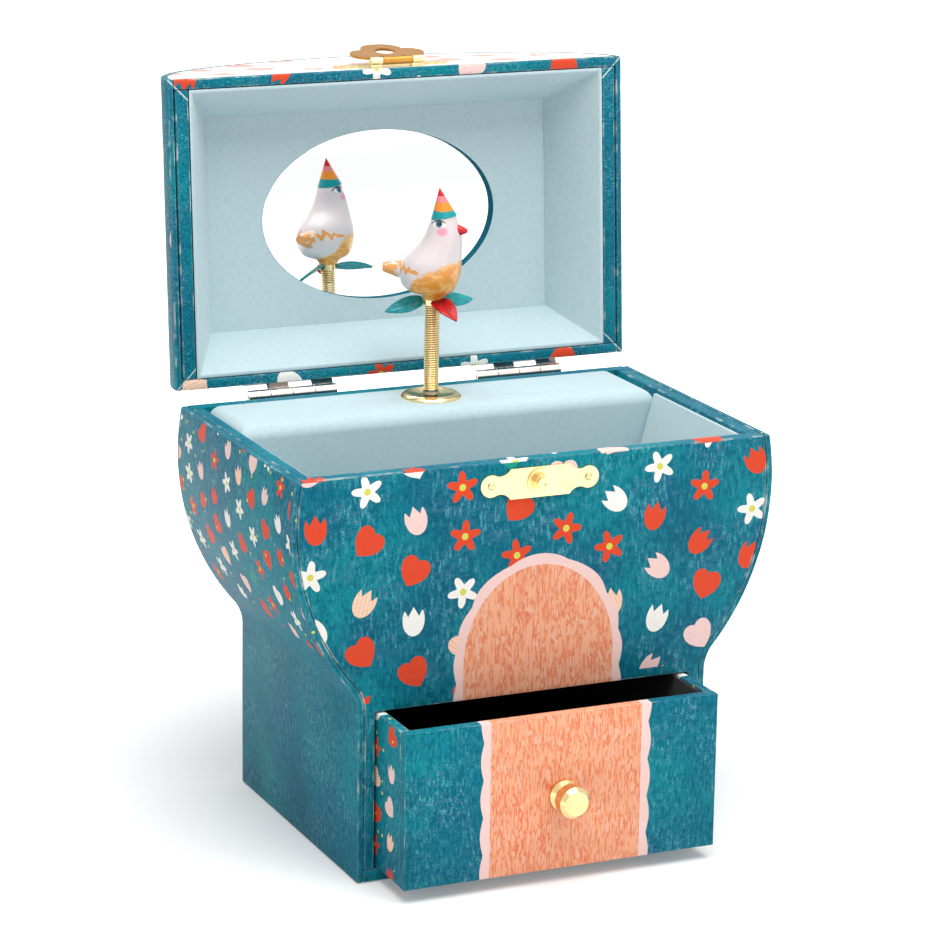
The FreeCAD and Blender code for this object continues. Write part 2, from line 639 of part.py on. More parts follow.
def hinge_leaf(label, middle, side, first_knuckle):
    # A cranked leaf with two of the four knuckles. side is -1 below the pin and 1 above it.
    body = new_body(label)
    start = "%s - hinge_long / 2" % middle
    near = "hinge_z + %d * leaf_drop" % side
    far = "hinge_z + %d * (leaf_drop + leaf_height)" % side
    outer_face = "half_depth + leaf_thick"
    leaf = rectangle("half_depth", outer_face, near, far)
    pad(body, add_loop(new_sketch(body, "YZ_Plane", start), leaf), "hinge_long")
    web_z = "hinge_z + %d * web_reach" % side
    web = [("half_depth", near), (outer_face, near), ("hinge_y - web_outer", web_z),
           ("hinge_y - web_inner", web_z)]
    for knuckle in (first_knuckle, first_knuckle + 2):
        place = "%s + %d * knuckle_long + knuckle_gap / 2" % (start, knuckle)
        arm = add_loop(new_sketch(body, "YZ_Plane", place), web)
        ring = add_circle(new_sketch(body, "YZ_Plane", place), "hinge_y", "hinge_z", "knuckle_radius")
        for shape in (arm, ring):
            pad(body, shape, "knuckle_long - knuckle_gap")
    pocket(body, add_circle(new_sketch(body, "YZ_Plane"), "hinge_y", "hinge_z", "pin_radius + pin_gap"))
    return body


def hinges():
    places = (("left", minus("hinge_offset")), ("right", "hinge_offset"))
    case_leaves = [hinge_leaf("case_leaf_" + name, middle, -1, 0) for name, middle in places]
    lid_leaves = [hinge_leaf("lid_leaf_" + name, middle, 1, 1) for name, middle in places]
    for leaf in lid_leaves:
        leaf.Placement = lid_pose
    pins = []
    for name, middle in places:
        pin = new_body("pin_" + name)
        sketch = new_sketch(pin, "YZ_Plane", "%s - hinge_long / 2" % middle)
        pad(pin, add_circle(sketch, "hinge_y", "hinge_z", "pin_radius"), "hinge_long")
        pins.append(pin)
    group("case_hinge_leaves", case_leaves)
    group("lid_hinge_leaves", lid_leaves)
    group("hinge_pins", pins)


def lobed_outline(middle):
    # A plate with a rounded lobe at each end, drawn in by a scallop beside its middle.
    low = "%s - plate_high" % middle
    high = "%s + plate_high" % middle
    lobe_side = "lobe_place - sqrt(lobe_radius^2 - lobe_cut^2)"
    lobe_low = "%s - lobe_cut" % middle
    lobe_high = "%s + lobe_cut" % middle
    return [(minus("plate_mid_half"), low), ("plate_mid_half", low, "cw", "scallop_radius"),
            (lobe_side, lobe_low, "ccw-large", "lobe_radius"),
            (lobe_side, lobe_high, "cw", "scallop_radius"), ("plate_mid_half", high),
            (minus("plate_mid_half"), high, "cw", "scallop_radius"),
            (minus(lobe_side), lobe_high, "ccw-large", "lobe_radius"),
            (minus(lobe_side), lobe_low, "cw", "scallop_radius")]


def lobed_plate(label, middle):
    body = new_body(label)
    sketch = add_loop(new_sketch(body, "XZ_Plane", "half_depth"), lobed_outline(middle))
    pad(body, sketch, "plate_thick")
    return body


def strike():
    plate = lobed_plate("strike_plate", "strike_z")
    keep(plate)
    step = "stud_long - stud_step"
    pit = "stud_long - pit_depth"
    corners = [("0", "0"), ("boss_radius", "0"), ("boss_radius", "boss_thick"),
               ("stud_radius", "boss_thick"), ("stud_radius", step), ("stud_cap", step),
               ("stud_cap", "stud_long"), ("stud_pit", "stud_long"), ("stud_pit", pit), ("0", pit)]
    foot = ("0", minus("half_depth + plate_thick"), "strike_z")
    keep(turned("strike_stud", corners, foot, to_front))


def hasp_mount():
    # The plate on the lid, with two ears and the pin that the hasp swings on.
    body = lobed_plate("hasp_mount", "lid_base + hasp_mount_rise")
    ear_start = "hasp_knuckle_half + knuckle_gap"
    web = rectangle(minus("hasp_axis_y"), minus("half_depth"), "hasp_axis_z", "hasp_axis_z + hasp_knuckle")
    for start in (ear_start, "0 - (%s) - ear_long" % ear_start):
        pad(body, add_loop(new_sketch(body, "YZ_Plane", start), web), "ear_long")
        ring = new_sketch(body, "YZ_Plane", start)
        add_circle(ring, minus("hasp_axis_y"), "hasp_axis_z", "hasp_knuckle")
        pad(body, ring, "ear_long")
    pin = add_circle(new_sketch(body, "YZ_Plane"), minus("hasp_axis_y"), "hasp_axis_z", "hasp_pin")
    pad(body, pin, "2 * (%s + ear_long)" % ear_start, True)
    keep(body, lid_pose)


def hasp():
    # A cloud-shaped plate that hangs from the pin, with a hole for the stud.
    body = new_body("hasp")
    hole_z = "strike_z"
    shoulder = "%s + hasp_lobe" % hole_z
    waist = "%s - hasp_lobe / 2" % hole_z
    tip = "%s - hasp_tip - hasp_lobe / 2" % hole_z
    tip_side = "hasp_half - hasp_lobe"
    corners = [("hasp_arm", "hasp_axis_z"), (minus("hasp_arm"), "hasp_axis_z"),
               (minus("hasp_arm"), shoulder, "ccw", "hasp_lobe"),
               (minus("hasp_half"), hole_z, "ccw", "hasp_lobe"), (minus(tip_side), waist, "ccw", "hasp_tip"),
               ("0", tip, "ccw", "hasp_tip"), (tip_side, waist, "ccw", "hasp_lobe"),
               ("hasp_half", hole_z, "ccw", "hasp_lobe"), ("hasp_arm", shoulder)]
    sketch = add_loop(new_sketch(body, "XZ_Plane", "hasp_axis_y - hasp_thick / 2"), corners)
    pad(body, sketch, "hasp_thick")
    ring = new_sketch(body, "YZ_Plane")
    add_circle(ring, minus("hasp_axis_y"), "hasp_axis_z", "hasp_knuckle")
    pad(body, ring, "2 * hasp_knuckle_half", True)
    bore = add_circle(new_sketch(body, "YZ_Plane"), minus("hasp_axis_y"), "hasp_axis_z", "hasp_pin + pin_gap")
    pocket(body, bore)
    pocket(body, add_circle(new_sketch(body, "XZ_Plane"), "0", hole_z, "stud_radius + hasp_hole_gap"))
    keep(body, hasp_pose)


# Movement

def gear(label, teeth, pitch_radius, face, bore, base, rotation=Rotation()):
    # A spur gear on its own axis, with narrow trapezoid teeth that leave backlash.
    body = new_body(label)
    root = "(%s - dedendum)" % pitch_radius
    tip = "(%s + addendum)" % pitch_radius
    disc = add_circle(new_sketch(body, "XY_Plane"), "0", "0", root)
    add_circle(disc, "0", "0", bore)
    pad(body, disc, face)
    half_root = "pi * %s / %s * tooth_share" % (pitch_radius, teeth)
    half_tip = "%s / 2" % half_root
    inside = "%s - dedendum / 4" % root
    corners = [(inside, minus(half_root)), (tip, minus(half_tip)), (tip, half_tip), (inside, half_root)]
    sketch = add_loop(new_sketch(body, "XY_Plane"), corners)
    polar(body, sketch, pad(body, sketch, face), teeth)
    body.Placement = Placement(Vector(*[num(value) for value in base]), rotation)
    return body


def crown_wheel():
    body = new_body("crown_wheel")
    rim = "crown_pitch + crown_face"
    disc = add_circle(new_sketch(body, "XY_Plane"), "0", "0", rim)
    add_circle(disc, "0", "0", "arbor_radius + fit_gap")
    pad(body, disc, "crown_disc")
    half = "pi * crown_pitch / crown_teeth * crown_share"
    tooth = rectangle("crown_pitch - crown_face", "%s - crown_face / 8" % rim, minus(half), half)
    sketch = add_loop(new_sketch(body, "XY_Plane", "crown_disc"), tooth)
    polar(body, sketch, pad(body, sketch, "addendum + dedendum"), "crown_teeth")
    centre = Vector(0, num("crown_root_y + crown_disc"), num("barrel_z"))
    turn = Rotation(Vector(0, 1, 0), 180 / num("crown_teeth"))
    body.Placement = Placement(centre, turn.multiply(to_front))
    keep(body)


def barrel():
    crown_wheel()
    inner = "drum_radius - drum_wall"
    floor = "drum_long - drum_wall"
    corners = [("arbor_radius + fit_gap", "drum_long"), ("drum_radius", "drum_long"), ("drum_radius", "0"),
               (inner, "0"), (inner, floor), ("arbor_radius + fit_gap", floor)]
    keep(turned("barrel_drum", corners, ("0", "crown_root_y", "barrel_z"), to_front))
    mainspring()


def mainspring():
    # A flat strip wound from the arbor to the drum wall in half circles that step outwards.
    turns = int(num("spring_turns"))
    half = num("spring_strip") / 2
    start = num("spring_hub")
    end = num("drum_radius - drum_wall - strip_margin")
    step = (end - start) / (2 * turns)
    sides = {1: [], -1: []}
    for index in range(2 * turns):
        way = 1 if index % 2 == 0 else -1
        radius = start + (index + 0.5) * step
        centre = Vector(-way * step / 2, 0, 0)
        for side in sides:
            reach = radius + side * half
            ends = [centre + Vector(sign * way * reach, 0, 0) for sign in (1, -1)]
            top = centre + Vector(0, way * reach, 0)
            sides[side].append(Part.Arc(ends[0], top, ends[1]).toShape())
    first = [side[0].valueAt(side[0].FirstParameter) for side in sides.values()]
    last = [side[-1].valueAt(side[-1].LastParameter) for side in sides.values()]
    caps = [Part.LineSegment(*first).toShape(), Part.LineSegment(*last).toShape()]
    edges = Part.sortEdges(sides[1] + sides[-1] + caps)[0]
    strip = Part.Face(Part.Wire(edges)).extrude(Vector(0, 0, num("drum_long - drum_wall - 2 * strip_margin")))
    coil = doc.addObject("Part::Feature", "mainspring")
    coil.Label = "mainspring"
    coil.Shape = strip
    coil.Placement = Placement(Vector(0, num("crown_root_y - strip_margin"), num("barrel_z")), to_front)
    keep(coil)


def winding():
    front = "crown_root_y - bridge_front"
    pivot = "%s - bridge_metal - fit_gap" % front
    back = "crown_root_y - half_depth - key_clear - key_bore"
    corners = [("0", back), ("arbor_radius", back), ("arbor_radius", pivot), ("arbor_pivot", pivot),
               ("arbor_pivot", front), ("0", front)]
    keep(turned("winding_arbor", corners, ("0", "crown_root_y", "barrel_z"), to_front))
    key = new_body("winding_key")
    hub = [("arbor_radius + fit_gap", "0"), ("key_hub", "0"), ("key_hub", "key_long"), ("0", "key_long"),
           ("0", "key_bore"), ("arbor_radius + fit_gap", "key_bore")]
    spin(key, add_loop(new_sketch(key, "XZ_Plane"), hub))
    low = "key_long - key_hub / 2"
    high = low + " + 2 * key_lobe"
    straight = "key_half - key_lobe"
    wing = [(minus(straight), low), (straight, low, "ccw", "key_lobe"), ("key_half", low + " + key_lobe",
            "ccw", "key_lobe"), (straight, high), (minus(straight), high, "ccw", "key_lobe"),
            (minus("key_half"), low + " + key_lobe", "ccw", "key_lobe")]
    bow = add_loop(new_sketch(key, "XZ_Plane"), wing)
    for x in ("key_eye_place", minus("key_eye_place")):
        add_circle(bow, x, low + " + key_lobe", "key_eye")
    pad(key, bow, "key_metal", True)
    key.Placement = Placement(Vector(0, num("half_depth + key_clear"), num("barrel_z")), to_back)
    keep(key)


def cylinder_shaft():
    # Carries the pinion, the cylinder and its drive gear, and turns the post above the deck.
    foot = "pinion_z - pinion_face / 2 - shaft_tail"
    seat = "seat_z - (%s)" % foot
    corners = [("0", "0"), ("shaft_radius", "0"), ("shaft_radius", seat), ("seat_radius", seat),
               ("seat_radius", seat + " + seat_thick"), ("shaft_stub", seat + " + seat_thick"),
               ("shaft_stub", seat + " + seat_thick + stub_long"), ("0", seat + " + seat_thick + stub_long")]
    keep(turned("cylinder_shaft", corners, ("0", "post_y", foot)))


def tune_cylinder():
    # A brass tube on two end caps, with a helix of tuning pins on every note's track.
    inner = "cylinder_radius - cylinder_wall"
    bore = "shaft_radius + fit_gap"
    far = "cylinder_long - cylinder_cap"
    tube = turned("cylinder_tube", [("cylinder_radius", "0"), ("cylinder_radius", "cylinder_long"),
                                    (inner, "cylinder_long"), (inner, "0")])
    caps = [turned(label, rectangle(bore, inner, low, high))
            for label, low, high in (("cylinder_cap_low", "0", "cylinder_cap"),
                                     ("cylinder_cap_high", far, "cylinder_long"))]
    pins = []
    count = int(num("note_count"))
    for index in range(count * int(num("note_rounds"))):
        lowest = num("cylinder_long / 2 - comb_high / 2 + note_pitch / 2")
        height = lowest + num("note_pitch") * (index % count)
        outward = Rotation(Vector(0, 0, 1), num("note_turn") * index).multVec(Vector(1, 0, 0))
        reach = num("cylinder_wall / 2 + pin_stand")
        foot = outward * num("cylinder_radius - cylinder_wall / 2") + Vector(0, 0, height)
        pins.append(Part.makeCylinder(num("note_pin"), reach, foot, outward))
    studs = doc.addObject("Part::Feature", "tune_pins")
    studs.Shape = Part.makeCompound(pins)
    joined = doc.addObject("Part::MultiFuse", "tune_cylinder")
    joined.Label = "tune_cylinder"
    joined.Shapes = [tube] + caps + [studs]
    joined.Placement = Placement(Vector(0, num("post_y"), num("cylinder_z")), Rotation())
    keep(joined)


def bracket(label, base):
    nose = "post_y - bracket_nose"
    body = plank(label, (minus("bracket_half"), "bracket_half"), (nose, "bed_face"),
                 (base, base + " + bracket_metal"))
    pocket(body, add_circle(new_sketch(body, "XY_Plane"), "0", "post_y", "shaft_radius + fit_gap"))
    return body


def comb_frame():
    middle = "cylinder_z + cylinder_long / 2"
    return "%s - comb_high / 2" % middle, "%s + comb_high / 2" % middle


def comb():
    # Steel teeth that shorten from the bass to the treble, over a slanted heel.
    low, high = comb_frame()
    heel_back = "comb_tip_x + tooth_long + comb_heel"
    body = new_body("tuned_comb")
    heel = [("comb_tip_x + tooth_long", low + " - comb_margin"), (heel_back, low + " - comb_margin"),
            (heel_back, high + " + comb_margin"),
            ("comb_tip_x + tooth_long - comb_slant", high + " + comb_margin")]
    plane = minus("post_y + comb_metal")
    pad(body, add_loop(new_sketch(body, "XZ_Plane", plane), heel), "comb_metal")
    tooth_low = "%s + (note_pitch - tooth_width) / 2" % low
    tooth = rectangle("comb_tip_x", "comb_tip_x + tooth_long + comb_slant / 4", tooth_low,
                      tooth_low + " + tooth_width")
    sketch = add_loop(new_sketch(body, "XZ_Plane", plane), tooth)
    first = pad(body, sketch, "comb_metal")
    pattern = body.newObject("PartDesign::LinearPattern", "LinearPattern")
    pattern.Originals = [first]
    pattern.Direction = (sketch, ["V_Axis"])
    pattern.setExpression("Length", text("note_pitch * (note_count - 1)"))
    pattern.setExpression("Occurrences", text("note_count"))
    body.Tip = pattern
    return body


def comb_assembly():
    low, high = comb_frame()
    screw_x = "comb_tip_x + tooth_long + comb_heel / 2"
    heights = [low + " + comb_margin", "cylinder_z + cylinder_long / 2", high + " - comb_margin"]
    teeth = comb()
    base_x = ("comb_tip_x + tooth_long + comb_base_gap", "comb_tip_x + tooth_long + comb_heel")
    base = plank("comb_base", base_x, ("post_y + comb_metal", "bed_face"),
                 (low + " - comb_margin", high + " + comb_margin"))
    screws = []
    for place, height in enumerate(heights):
        for body in (teeth, base):
            hole = add_circle(new_sketch(body, "XZ_Plane"), screw_x, height, "screw_radius + screw_clear")
            pocket(body, hole)
        corners = screw_outline("comb_screw_long")
        screws.append(turned("comb_screw_%d" % place, corners, (screw_x, "post_y", height), to_front))
    keep(teeth)
    keep(base)
    group("comb_screws", screws)


def screw_outline(length):
    return [("0", "0 - " + length), ("screw_radius", "0 - " + length), ("screw_radius", "0"),
            ("screw_head", "0"), ("screw_head", "screw_head_thick"), ("0", "screw_head_thick")]


def bed():
    low = "barrel_z - bed_below"
    high = "barrel_z + bed_above"
    plate = plank("bedplate", (minus("bed_left"), "bed_right"), ("bed_face", "inside_y"), (low, high))
    holes = add_circle(new_sketch(plate, "XZ_Plane"), "0", "barrel_z", "arbor_radius + fit_gap")
    for x, z in bed_screws:
        add_circle(holes, x, z, "screw_radius + screw_clear")
    pocket(plate, holes)
    keep(plate)
    screws = [turned("bed_screw_%d" % index, screw_outline("bed_screw_long"), (x, "half_depth", z), to_back)
              for index, (x, z) in enumerate(bed_screws)]
    group("movement_screws", screws)
    bridge = new_body("barrel_bridge")
    out = "bridge_half + bridge_metal"
    behind = "bridge_front + bridge_metal"
    strap = [(minus(out), "bed_face"), (minus(out), "bridge_front"), (out, "bridge_front"), (out, "bed_face"),
             ("bridge_half", "bed_face"), ("bridge_half", behind), (minus("bridge_half"), behind),
             (minus("bridge_half"), "bed_face")]
    sketch = add_loop(new_sketch(bridge, "XY_Plane", "barrel_z - bridge_height / 2"), strap)
    pad(bridge, sketch, "bridge_height")
    pocket(bridge, add_circle(new_sketch(bridge, "XZ_Plane"), "0", "barrel_z", "arbor_pivot + fit_gap"))
    keep(bridge)
    brackets = [bracket("bracket_low", "low_bracket_z"), bracket("bracket_high", "high_bracket_z")]
    group("cylinder_brackets", brackets)


def governor_staff():
    # A pinion driven by the cylinder and a worm wheel, on one upright staff.
    bore = "staff_radius / 2"
    pinion_base = ("governor_x", "post_y", "drive_z - bracket_gap / 4")
    pinion = gear("governor_pinion", "governor_teeth", "governor_pitch", "drive_face + bracket_gap / 2", bore,
                  pinion_base, Rotation(Vector(0, 0, 1), 180 / num("governor_teeth")))
    wheel = gear("worm_wheel", "worm_wheel_teeth", "worm_wheel_pitch", "worm_wheel_face", bore,
                 ("governor_x", "post_y", "worm_wheel_z"))
    foot = "drive_z - frame_gap - frame_metal - bracket_gap / 4"
    top = "worm_wheel_z + worm_wheel_face + frame_gap + frame_metal - (%s)" % foot
    rod = turned("governor_rod", [("0", "0"), ("staff_radius", "0"), ("staff_radius", top), ("0", top)],
                 ("governor_x", "post_y", foot))
    staff = doc.addObject("Part::MultiFuse", "governor_staff")
    staff.Label = "governor_staff"
    staff.Shapes = [pinion, wheel, rod]
    keep(staff)


def fan():
    # A worm on its spindle, with a two-winged air brake at the front.
    pitch = 2 * math.pi * num("worm_wheel_pitch") / num("worm_wheel_teeth")
    turns = num("worm_turns")
    root = num("worm_root")
    long = num("worm_front + worm_back")
    middle = num("worm_back")
    thread_root = num("thread_root")
    thread_tip = num("thread_tip")
    inside = root - thread_tip
    tip = num("worm_tip")
    path = Part.makeHelix(pitch, pitch * turns, root)
    section = Part.makePolygon([Vector(inside, 0, -thread_root), Vector(tip, 0, -thread_tip),
                                Vector(tip, 0, thread_tip), Vector(inside, 0, thread_root),
                                Vector(inside, 0, -thread_root)])
    thread = Part.Wire(path.Edges).makePipeShell([section], True, True)
    thread.translate(Vector(0, 0, middle - pitch * turns / 2))
    core = Part.makeCylinder(root, pitch * (turns + 1), Vector(0, 0, middle - pitch * (turns + 1) / 2))
    spindle = Part.makeCylinder(num("staff_radius"), long)
    reach = num("fan_radius")
    wing = num("fan_wing")
    metal = num("fan_metal")
    fan_base = long - num("frame_metal + frame_gap") - wing
    hub = Part.makeCylinder(num("fan_hub"), wing, Vector(0, 0, fan_base))
    wings = Part.makeBox(2 * reach, metal, wing, Vector(-reach, -metal / 2, fan_base))
    air_brake = doc.addObject("Part::Feature", "fan_worm")
    air_brake.Label = "fan_worm"
    air_brake.Shape = core.fuse([thread, spindle, hub, wings]).Solids[0]
    # Half a turn on its axis brings the wheel's tooth between two threads.
    foot = Vector(num("worm_x"), num("post_y") + middle, num("worm_z"))
    air_brake.Placement = Placement(foot, to_front).multiply(half_turn)
    keep(air_brake)


def governor_frame():
    # A bent bracket on the bedplate: two shelves for the staff, then an arm round the fan to its pivot.
    low_top = "drive_z - frame_gap - bracket_gap / 4"
    high_base = "worm_wheel_z + worm_wheel_face + frame_gap"
    near = "governor_x + governor_pitch"
    far = "worm_x - frame_side"
    front = "post_y - worm_front"
    nose = "post_y - bracket_nose"
    high_top = high_base + " + frame_metal"
    low_base = low_top + " - frame_metal"
    plate_face = "bed_face - frame_metal"
    arm_z = ("worm_z - frame_lap", high_top)
    pieces = [plank("frame_plate", (far, near), (plate_face, "bed_face"), (low_base, high_top)),
              plank("frame_low", (far, near), (nose, plate_face), (low_base, low_top)),
              plank("frame_high", ("governor_x - governor_pitch", near), (nose, plate_face),
                    (high_base, high_top)),
              plank("frame_side_arm", (far, far + " + frame_metal"), (front, plate_face), arm_z),
              plank("frame_front_arm", (far, "worm_x + frame_lap"), (front, front + " + frame_metal"), arm_z)]
    joined = doc.addObject("Part::MultiFuse", "frame_joined")
    joined.Shapes = pieces
    staff_hole = doc.addObject("Part::Cylinder", "staff_hole")
    staff_hole.setExpression("Radius", text("staff_radius + fit_gap"))
    staff_hole.setExpression("Height", text("rim_height"))
    staff_hole.Placement = Placement(Vector(num("governor_x"), num("post_y"), 0), Rotation())
    spindle_hole = doc.addObject("Part::Cylinder", "spindle_hole")
    spindle_hole.setExpression("Radius", text("staff_radius + fit_gap"))
    spindle_hole.setExpression("Height", text("case_depth"))
    spindle_hole.Placement = Placement(Vector(num("worm_x"), num("half_depth"), num("worm_z")), to_front)
    holes = doc.addObject("Part::MultiFuse", "frame_holes")
    holes.Shapes = [staff_hole, spindle_hole]
    frame = doc.addObject("Part::Cut", "governor_frame")
    frame.Label = "governor_frame"
    frame.Base = joined
    frame.Tool = holes
    keep(frame)


def movement():
    bed()
    barrel()
    winding()
    cylinder_shaft()
    bore = "shaft_radius + fit_gap"
    keep(gear("cylinder_pinion", "pinion_teeth", "pinion_pitch", "pinion_face", bore,
              ("0", "post_y", "pinion_z - pinion_face / 2"), Rotation(Vector(0, 0, 1), 90)))
    tune_cylinder()
    keep(gear("cylinder_gear", "drive_teeth", "drive_pitch", "drive_face", bore, ("0", "post_y", "drive_z")))
    comb_assembly()
    governor_staff()
    fan()
    governor_frame()


# Spring post and figure

def biarc(start, start_way, end, end_way):
    # Two arcs that join two points with the given directions.
    chord = end - start
    ways = start_way + end_way
    bend = 2 * (1 - start_way.dot(end_way))
    along = chord.dot(ways)
    reach = (math.sqrt(along ** 2 + bend * chord.dot(chord)) - along) / bend
    middle = (start + end + (start_way - end_way) * reach) / 2
    return [arc_from(start, start_way, middle), arc_from(end, end_way * -1, middle)]


def arc_from(start, way, end):
    chord = end - start
    unit = Vector(chord).normalize()
    side = (way - unit * way.dot(unit)).normalize()
    lean = math.acos(max(-1, min(1, way.dot(unit))))
    top = (start + end) / 2 + side * (chord.Length / 2 * math.tan(lean / 2))
    return Part.Arc(start, top, end).toShape()


def spring_post():
    # An open-wound wire spring between the turning seat and the figure's collar.
    wire = num("post_wire")
    radius = num("post_radius") - wire / 2
    turns = int(num("post_turns"))
    end_gap = 2 * num("fit_gap")
    pitch = (num("post_long") - wire - 2 * end_gap) / turns
    rise = pitch / (2 * math.pi)
    base = num("post_base") + wire / 2 + end_gap

    def place(angle):
        return Vector(radius * math.cos(angle), radius * math.sin(angle), rise * angle)

    def way(angle):
        return Vector(-radius * math.sin(angle), radius * math.cos(angle), rise).normalize()

    edges = []
    for half in range(2 * turns):
        start = half * math.pi
        end = start + math.pi
        edges += biarc(place(start), way(start), place(end), way(end))
    last = 2 * turns * math.pi
    tail = place(0) - way(0) * wire
    tip = place(last) + way(last) * wire
    edges = [Part.LineSegment(tail, place(0)).toShape()] + edges
    edges.append(Part.LineSegment(place(last), tip).toShape())
    path = Part.Wire(Part.sortEdges(edges)[0])
    section = Part.Wire(Part.makeCircle(wire / 2, tail, way(0)))
    coil = path.makePipeShell([section], True, False)
    steps = 48
    samples = [place(2 * math.pi * step / steps) for step in range(turns * steps)]
    least = min((samples[low] - samples[high]).Length for low in range(0, len(samples), 7)
                for high in range(low + steps // 2, min(low + 2 * steps, len(samples))))
    print("spring post: least gap between turns %.2f mm" % (least - wire))
    post = doc.addObject("Part::Feature", "spring_post")
    post.Label = "spring_post"
    post.Shape = coil
    post.Placement = Placement(Vector(0, num("post_y"), base), Rotation())
    keep(post)


def figure_collar():
    corners = [("0", "0 - stem_long"), ("stem_radius", "0 - stem_long"), ("stem_radius", "0"),
               ("collar_radius", "0"), ("collar_radius", "collar_thick"), ("0", "collar_thick")]
    keep(turned("figure_collar", corners, ("0", "post_y", "post_top")))


def leaf(label, heading, slope, roll, length):
    # A pointed leaf blade that starts at the collar, turned to its heading, slope and roll.
    body = new_body(label)
    radius = "(%s^2 + leaf_wide^2) / (4 * leaf_wide)" % length
    corners = [("0", "0", "ccw", radius), (length, "0", "ccw", radius)]
    pad(body, add_loop(new_sketch(body, "XY_Plane"), corners), "leaf_metal", True)
    facing = Rotation(Vector(0, 0, 1), num(heading))
    sloped = facing.multiply(Rotation(Vector(0, 1, 0), num(slope)))
    turn = sloped.multiply(Rotation(Vector(1, 0, 0), num(roll)))
    root = facing.multVec(Vector(num("collar_radius + leaf_gap"), 0, 0))
    height = num("post_top + collar_thick / 2")
    body.Placement = figure_pose.multiply(Placement(Vector(0, num("post_y"), height) + root, turn))
    return body


def bird_body():
    # A plump body that leans forward into the head, with a tapering tail and a socket for the beak.
    body = new_body("bird_body")
    rings = [("0", "0", "foot_radius"), ("0", "seat_rise", "hip_radius"),
             (minus("belly_back"), "belly_rise", "belly_radius"),
             (minus("breast_back"), "breast_rise", "breast_radius"),
             (minus("wing_back"), "wing_rise", "wing_radius"), ("neck_shift", "neck_rise", "neck_radius"),
             ("cheek_shift", "cheek_rise", "cheek_radius"), ("head_shift", "brow_rise", "brow_radius")]
    sketches = [add_circle(new_sketch(body, "XY_Plane", rise), shift, "0", radius)
                for shift, rise, radius in rings]
    crown = new_sketch(body, "XY_Plane", "crown_rise")
    crown.AttachmentOffset = Placement(Vector(), hat_lean)
    crown.setExpression("AttachmentOffset.Base.x", text("head_shift"))
    sketches.append(add_circle(crown, "0", "0", "crown_radius"))
    loft = body.newObject("PartDesign::AdditiveLoft", "Loft")
    loft.Profile = sketches[0]
    loft.Sections = sketches[1:]
    root = new_sketch(body, "YZ_Plane", minus("tail_root"))
    tip = new_sketch(body, "YZ_Plane", minus("tail_reach"))
    tail = body.newObject("PartDesign::AdditiveLoft", "Tail")
    tail.Profile = add_circle(root, "0", "tail_root_rise", "tail_root_radius")
    tail.Sections = [add_circle(tip, "0", "tail_tip_rise", "tail_tip_radius")]
    socket = new_sketch(body, "YZ_Plane", "beak_shift")
    pocket(body, add_circle(socket, "0", "beak_rise", "beak_radius + beak_gap"), "beak_long")
    body.Placement = Placement(Vector(0, num("post_y"), num("bird_base")), Rotation())
    return body


def bird():
    figure_collar()
    group("leaf_ruff", [leaf("left_leaf", "left_heading", "left_fall", minus("left_roll"), "leaf_long"),
                        leaf("right_leaf", "right_heading", minus("right_lift"), "right_roll", "leaf_long"),
                        leaf("red_leaf", minus("red_heading"), "red_fall", "red_roll", "red_long")])
    keep(bird_body(), figure_pose)
    beak = [("0", "0"), ("beak_radius", "0"), ("0", "beak_long")]
    beak_place = ("beak_shift", "post_y", "bird_base + beak_rise")
    keep(turned("bird_beak", beak, beak_place, Rotation(Vector(0, 1, 0), 90)), figure_pose)
    hat = [("0", "hat_gap"), ("hat_radius", "hat_gap"), ("0", "hat_gap + hat_long")]
    hat_place = ("head_shift", "post_y", "bird_base + crown_rise")
    keep(turned("party_hat", hat, hat_place, hat_lean), figure_pose)


case()
drawer()
lid()
hinges()
strike()
hasp_mount()
hasp()
movement()
spring_post()
bird()
doc.recompute()

faults = [item.Label for item in doc.Objects if "Invalid" in item.State or "Error" in item.State]
for node in nodes:
    if node.Shape.isNull() or not node.Shape.isValid() or not node.Shape.Solids:
        faults.append(node.Label)
if faults:
    raise RuntimeError("failed: " + ", ".join(faults))

os.makedirs("parts", exist_ok=True)
for node in nodes:
    node.Shape.exportStep("parts/%s.step" % node.Label)
    print("%-22s %2d solids %10.1f mm3" % (node.Label, len(node.Shape.Solids), node.Shape.Volume))
print(len(nodes), "nodes")
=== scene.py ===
import bpy
import math
from mathutils import Matrix, Vector


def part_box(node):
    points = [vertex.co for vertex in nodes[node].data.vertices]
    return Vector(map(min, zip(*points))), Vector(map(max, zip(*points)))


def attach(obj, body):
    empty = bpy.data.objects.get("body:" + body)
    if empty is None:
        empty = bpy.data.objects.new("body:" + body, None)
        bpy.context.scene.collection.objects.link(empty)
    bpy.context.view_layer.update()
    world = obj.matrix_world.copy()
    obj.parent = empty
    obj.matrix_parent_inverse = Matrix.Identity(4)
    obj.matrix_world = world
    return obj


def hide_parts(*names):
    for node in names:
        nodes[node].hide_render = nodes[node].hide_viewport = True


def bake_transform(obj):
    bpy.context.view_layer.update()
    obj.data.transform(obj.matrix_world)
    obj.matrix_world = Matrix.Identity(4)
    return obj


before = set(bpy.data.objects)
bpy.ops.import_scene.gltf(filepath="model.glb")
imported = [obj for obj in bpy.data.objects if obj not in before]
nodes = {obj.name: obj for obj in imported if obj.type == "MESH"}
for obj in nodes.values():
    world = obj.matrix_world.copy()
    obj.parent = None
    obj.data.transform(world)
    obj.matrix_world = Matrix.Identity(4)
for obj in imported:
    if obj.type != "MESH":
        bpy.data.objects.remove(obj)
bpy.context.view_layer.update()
bpy.ops.object.select_all(action="DESELECT")
print("frame loaded:", len(nodes), "nodes")


# shader maths

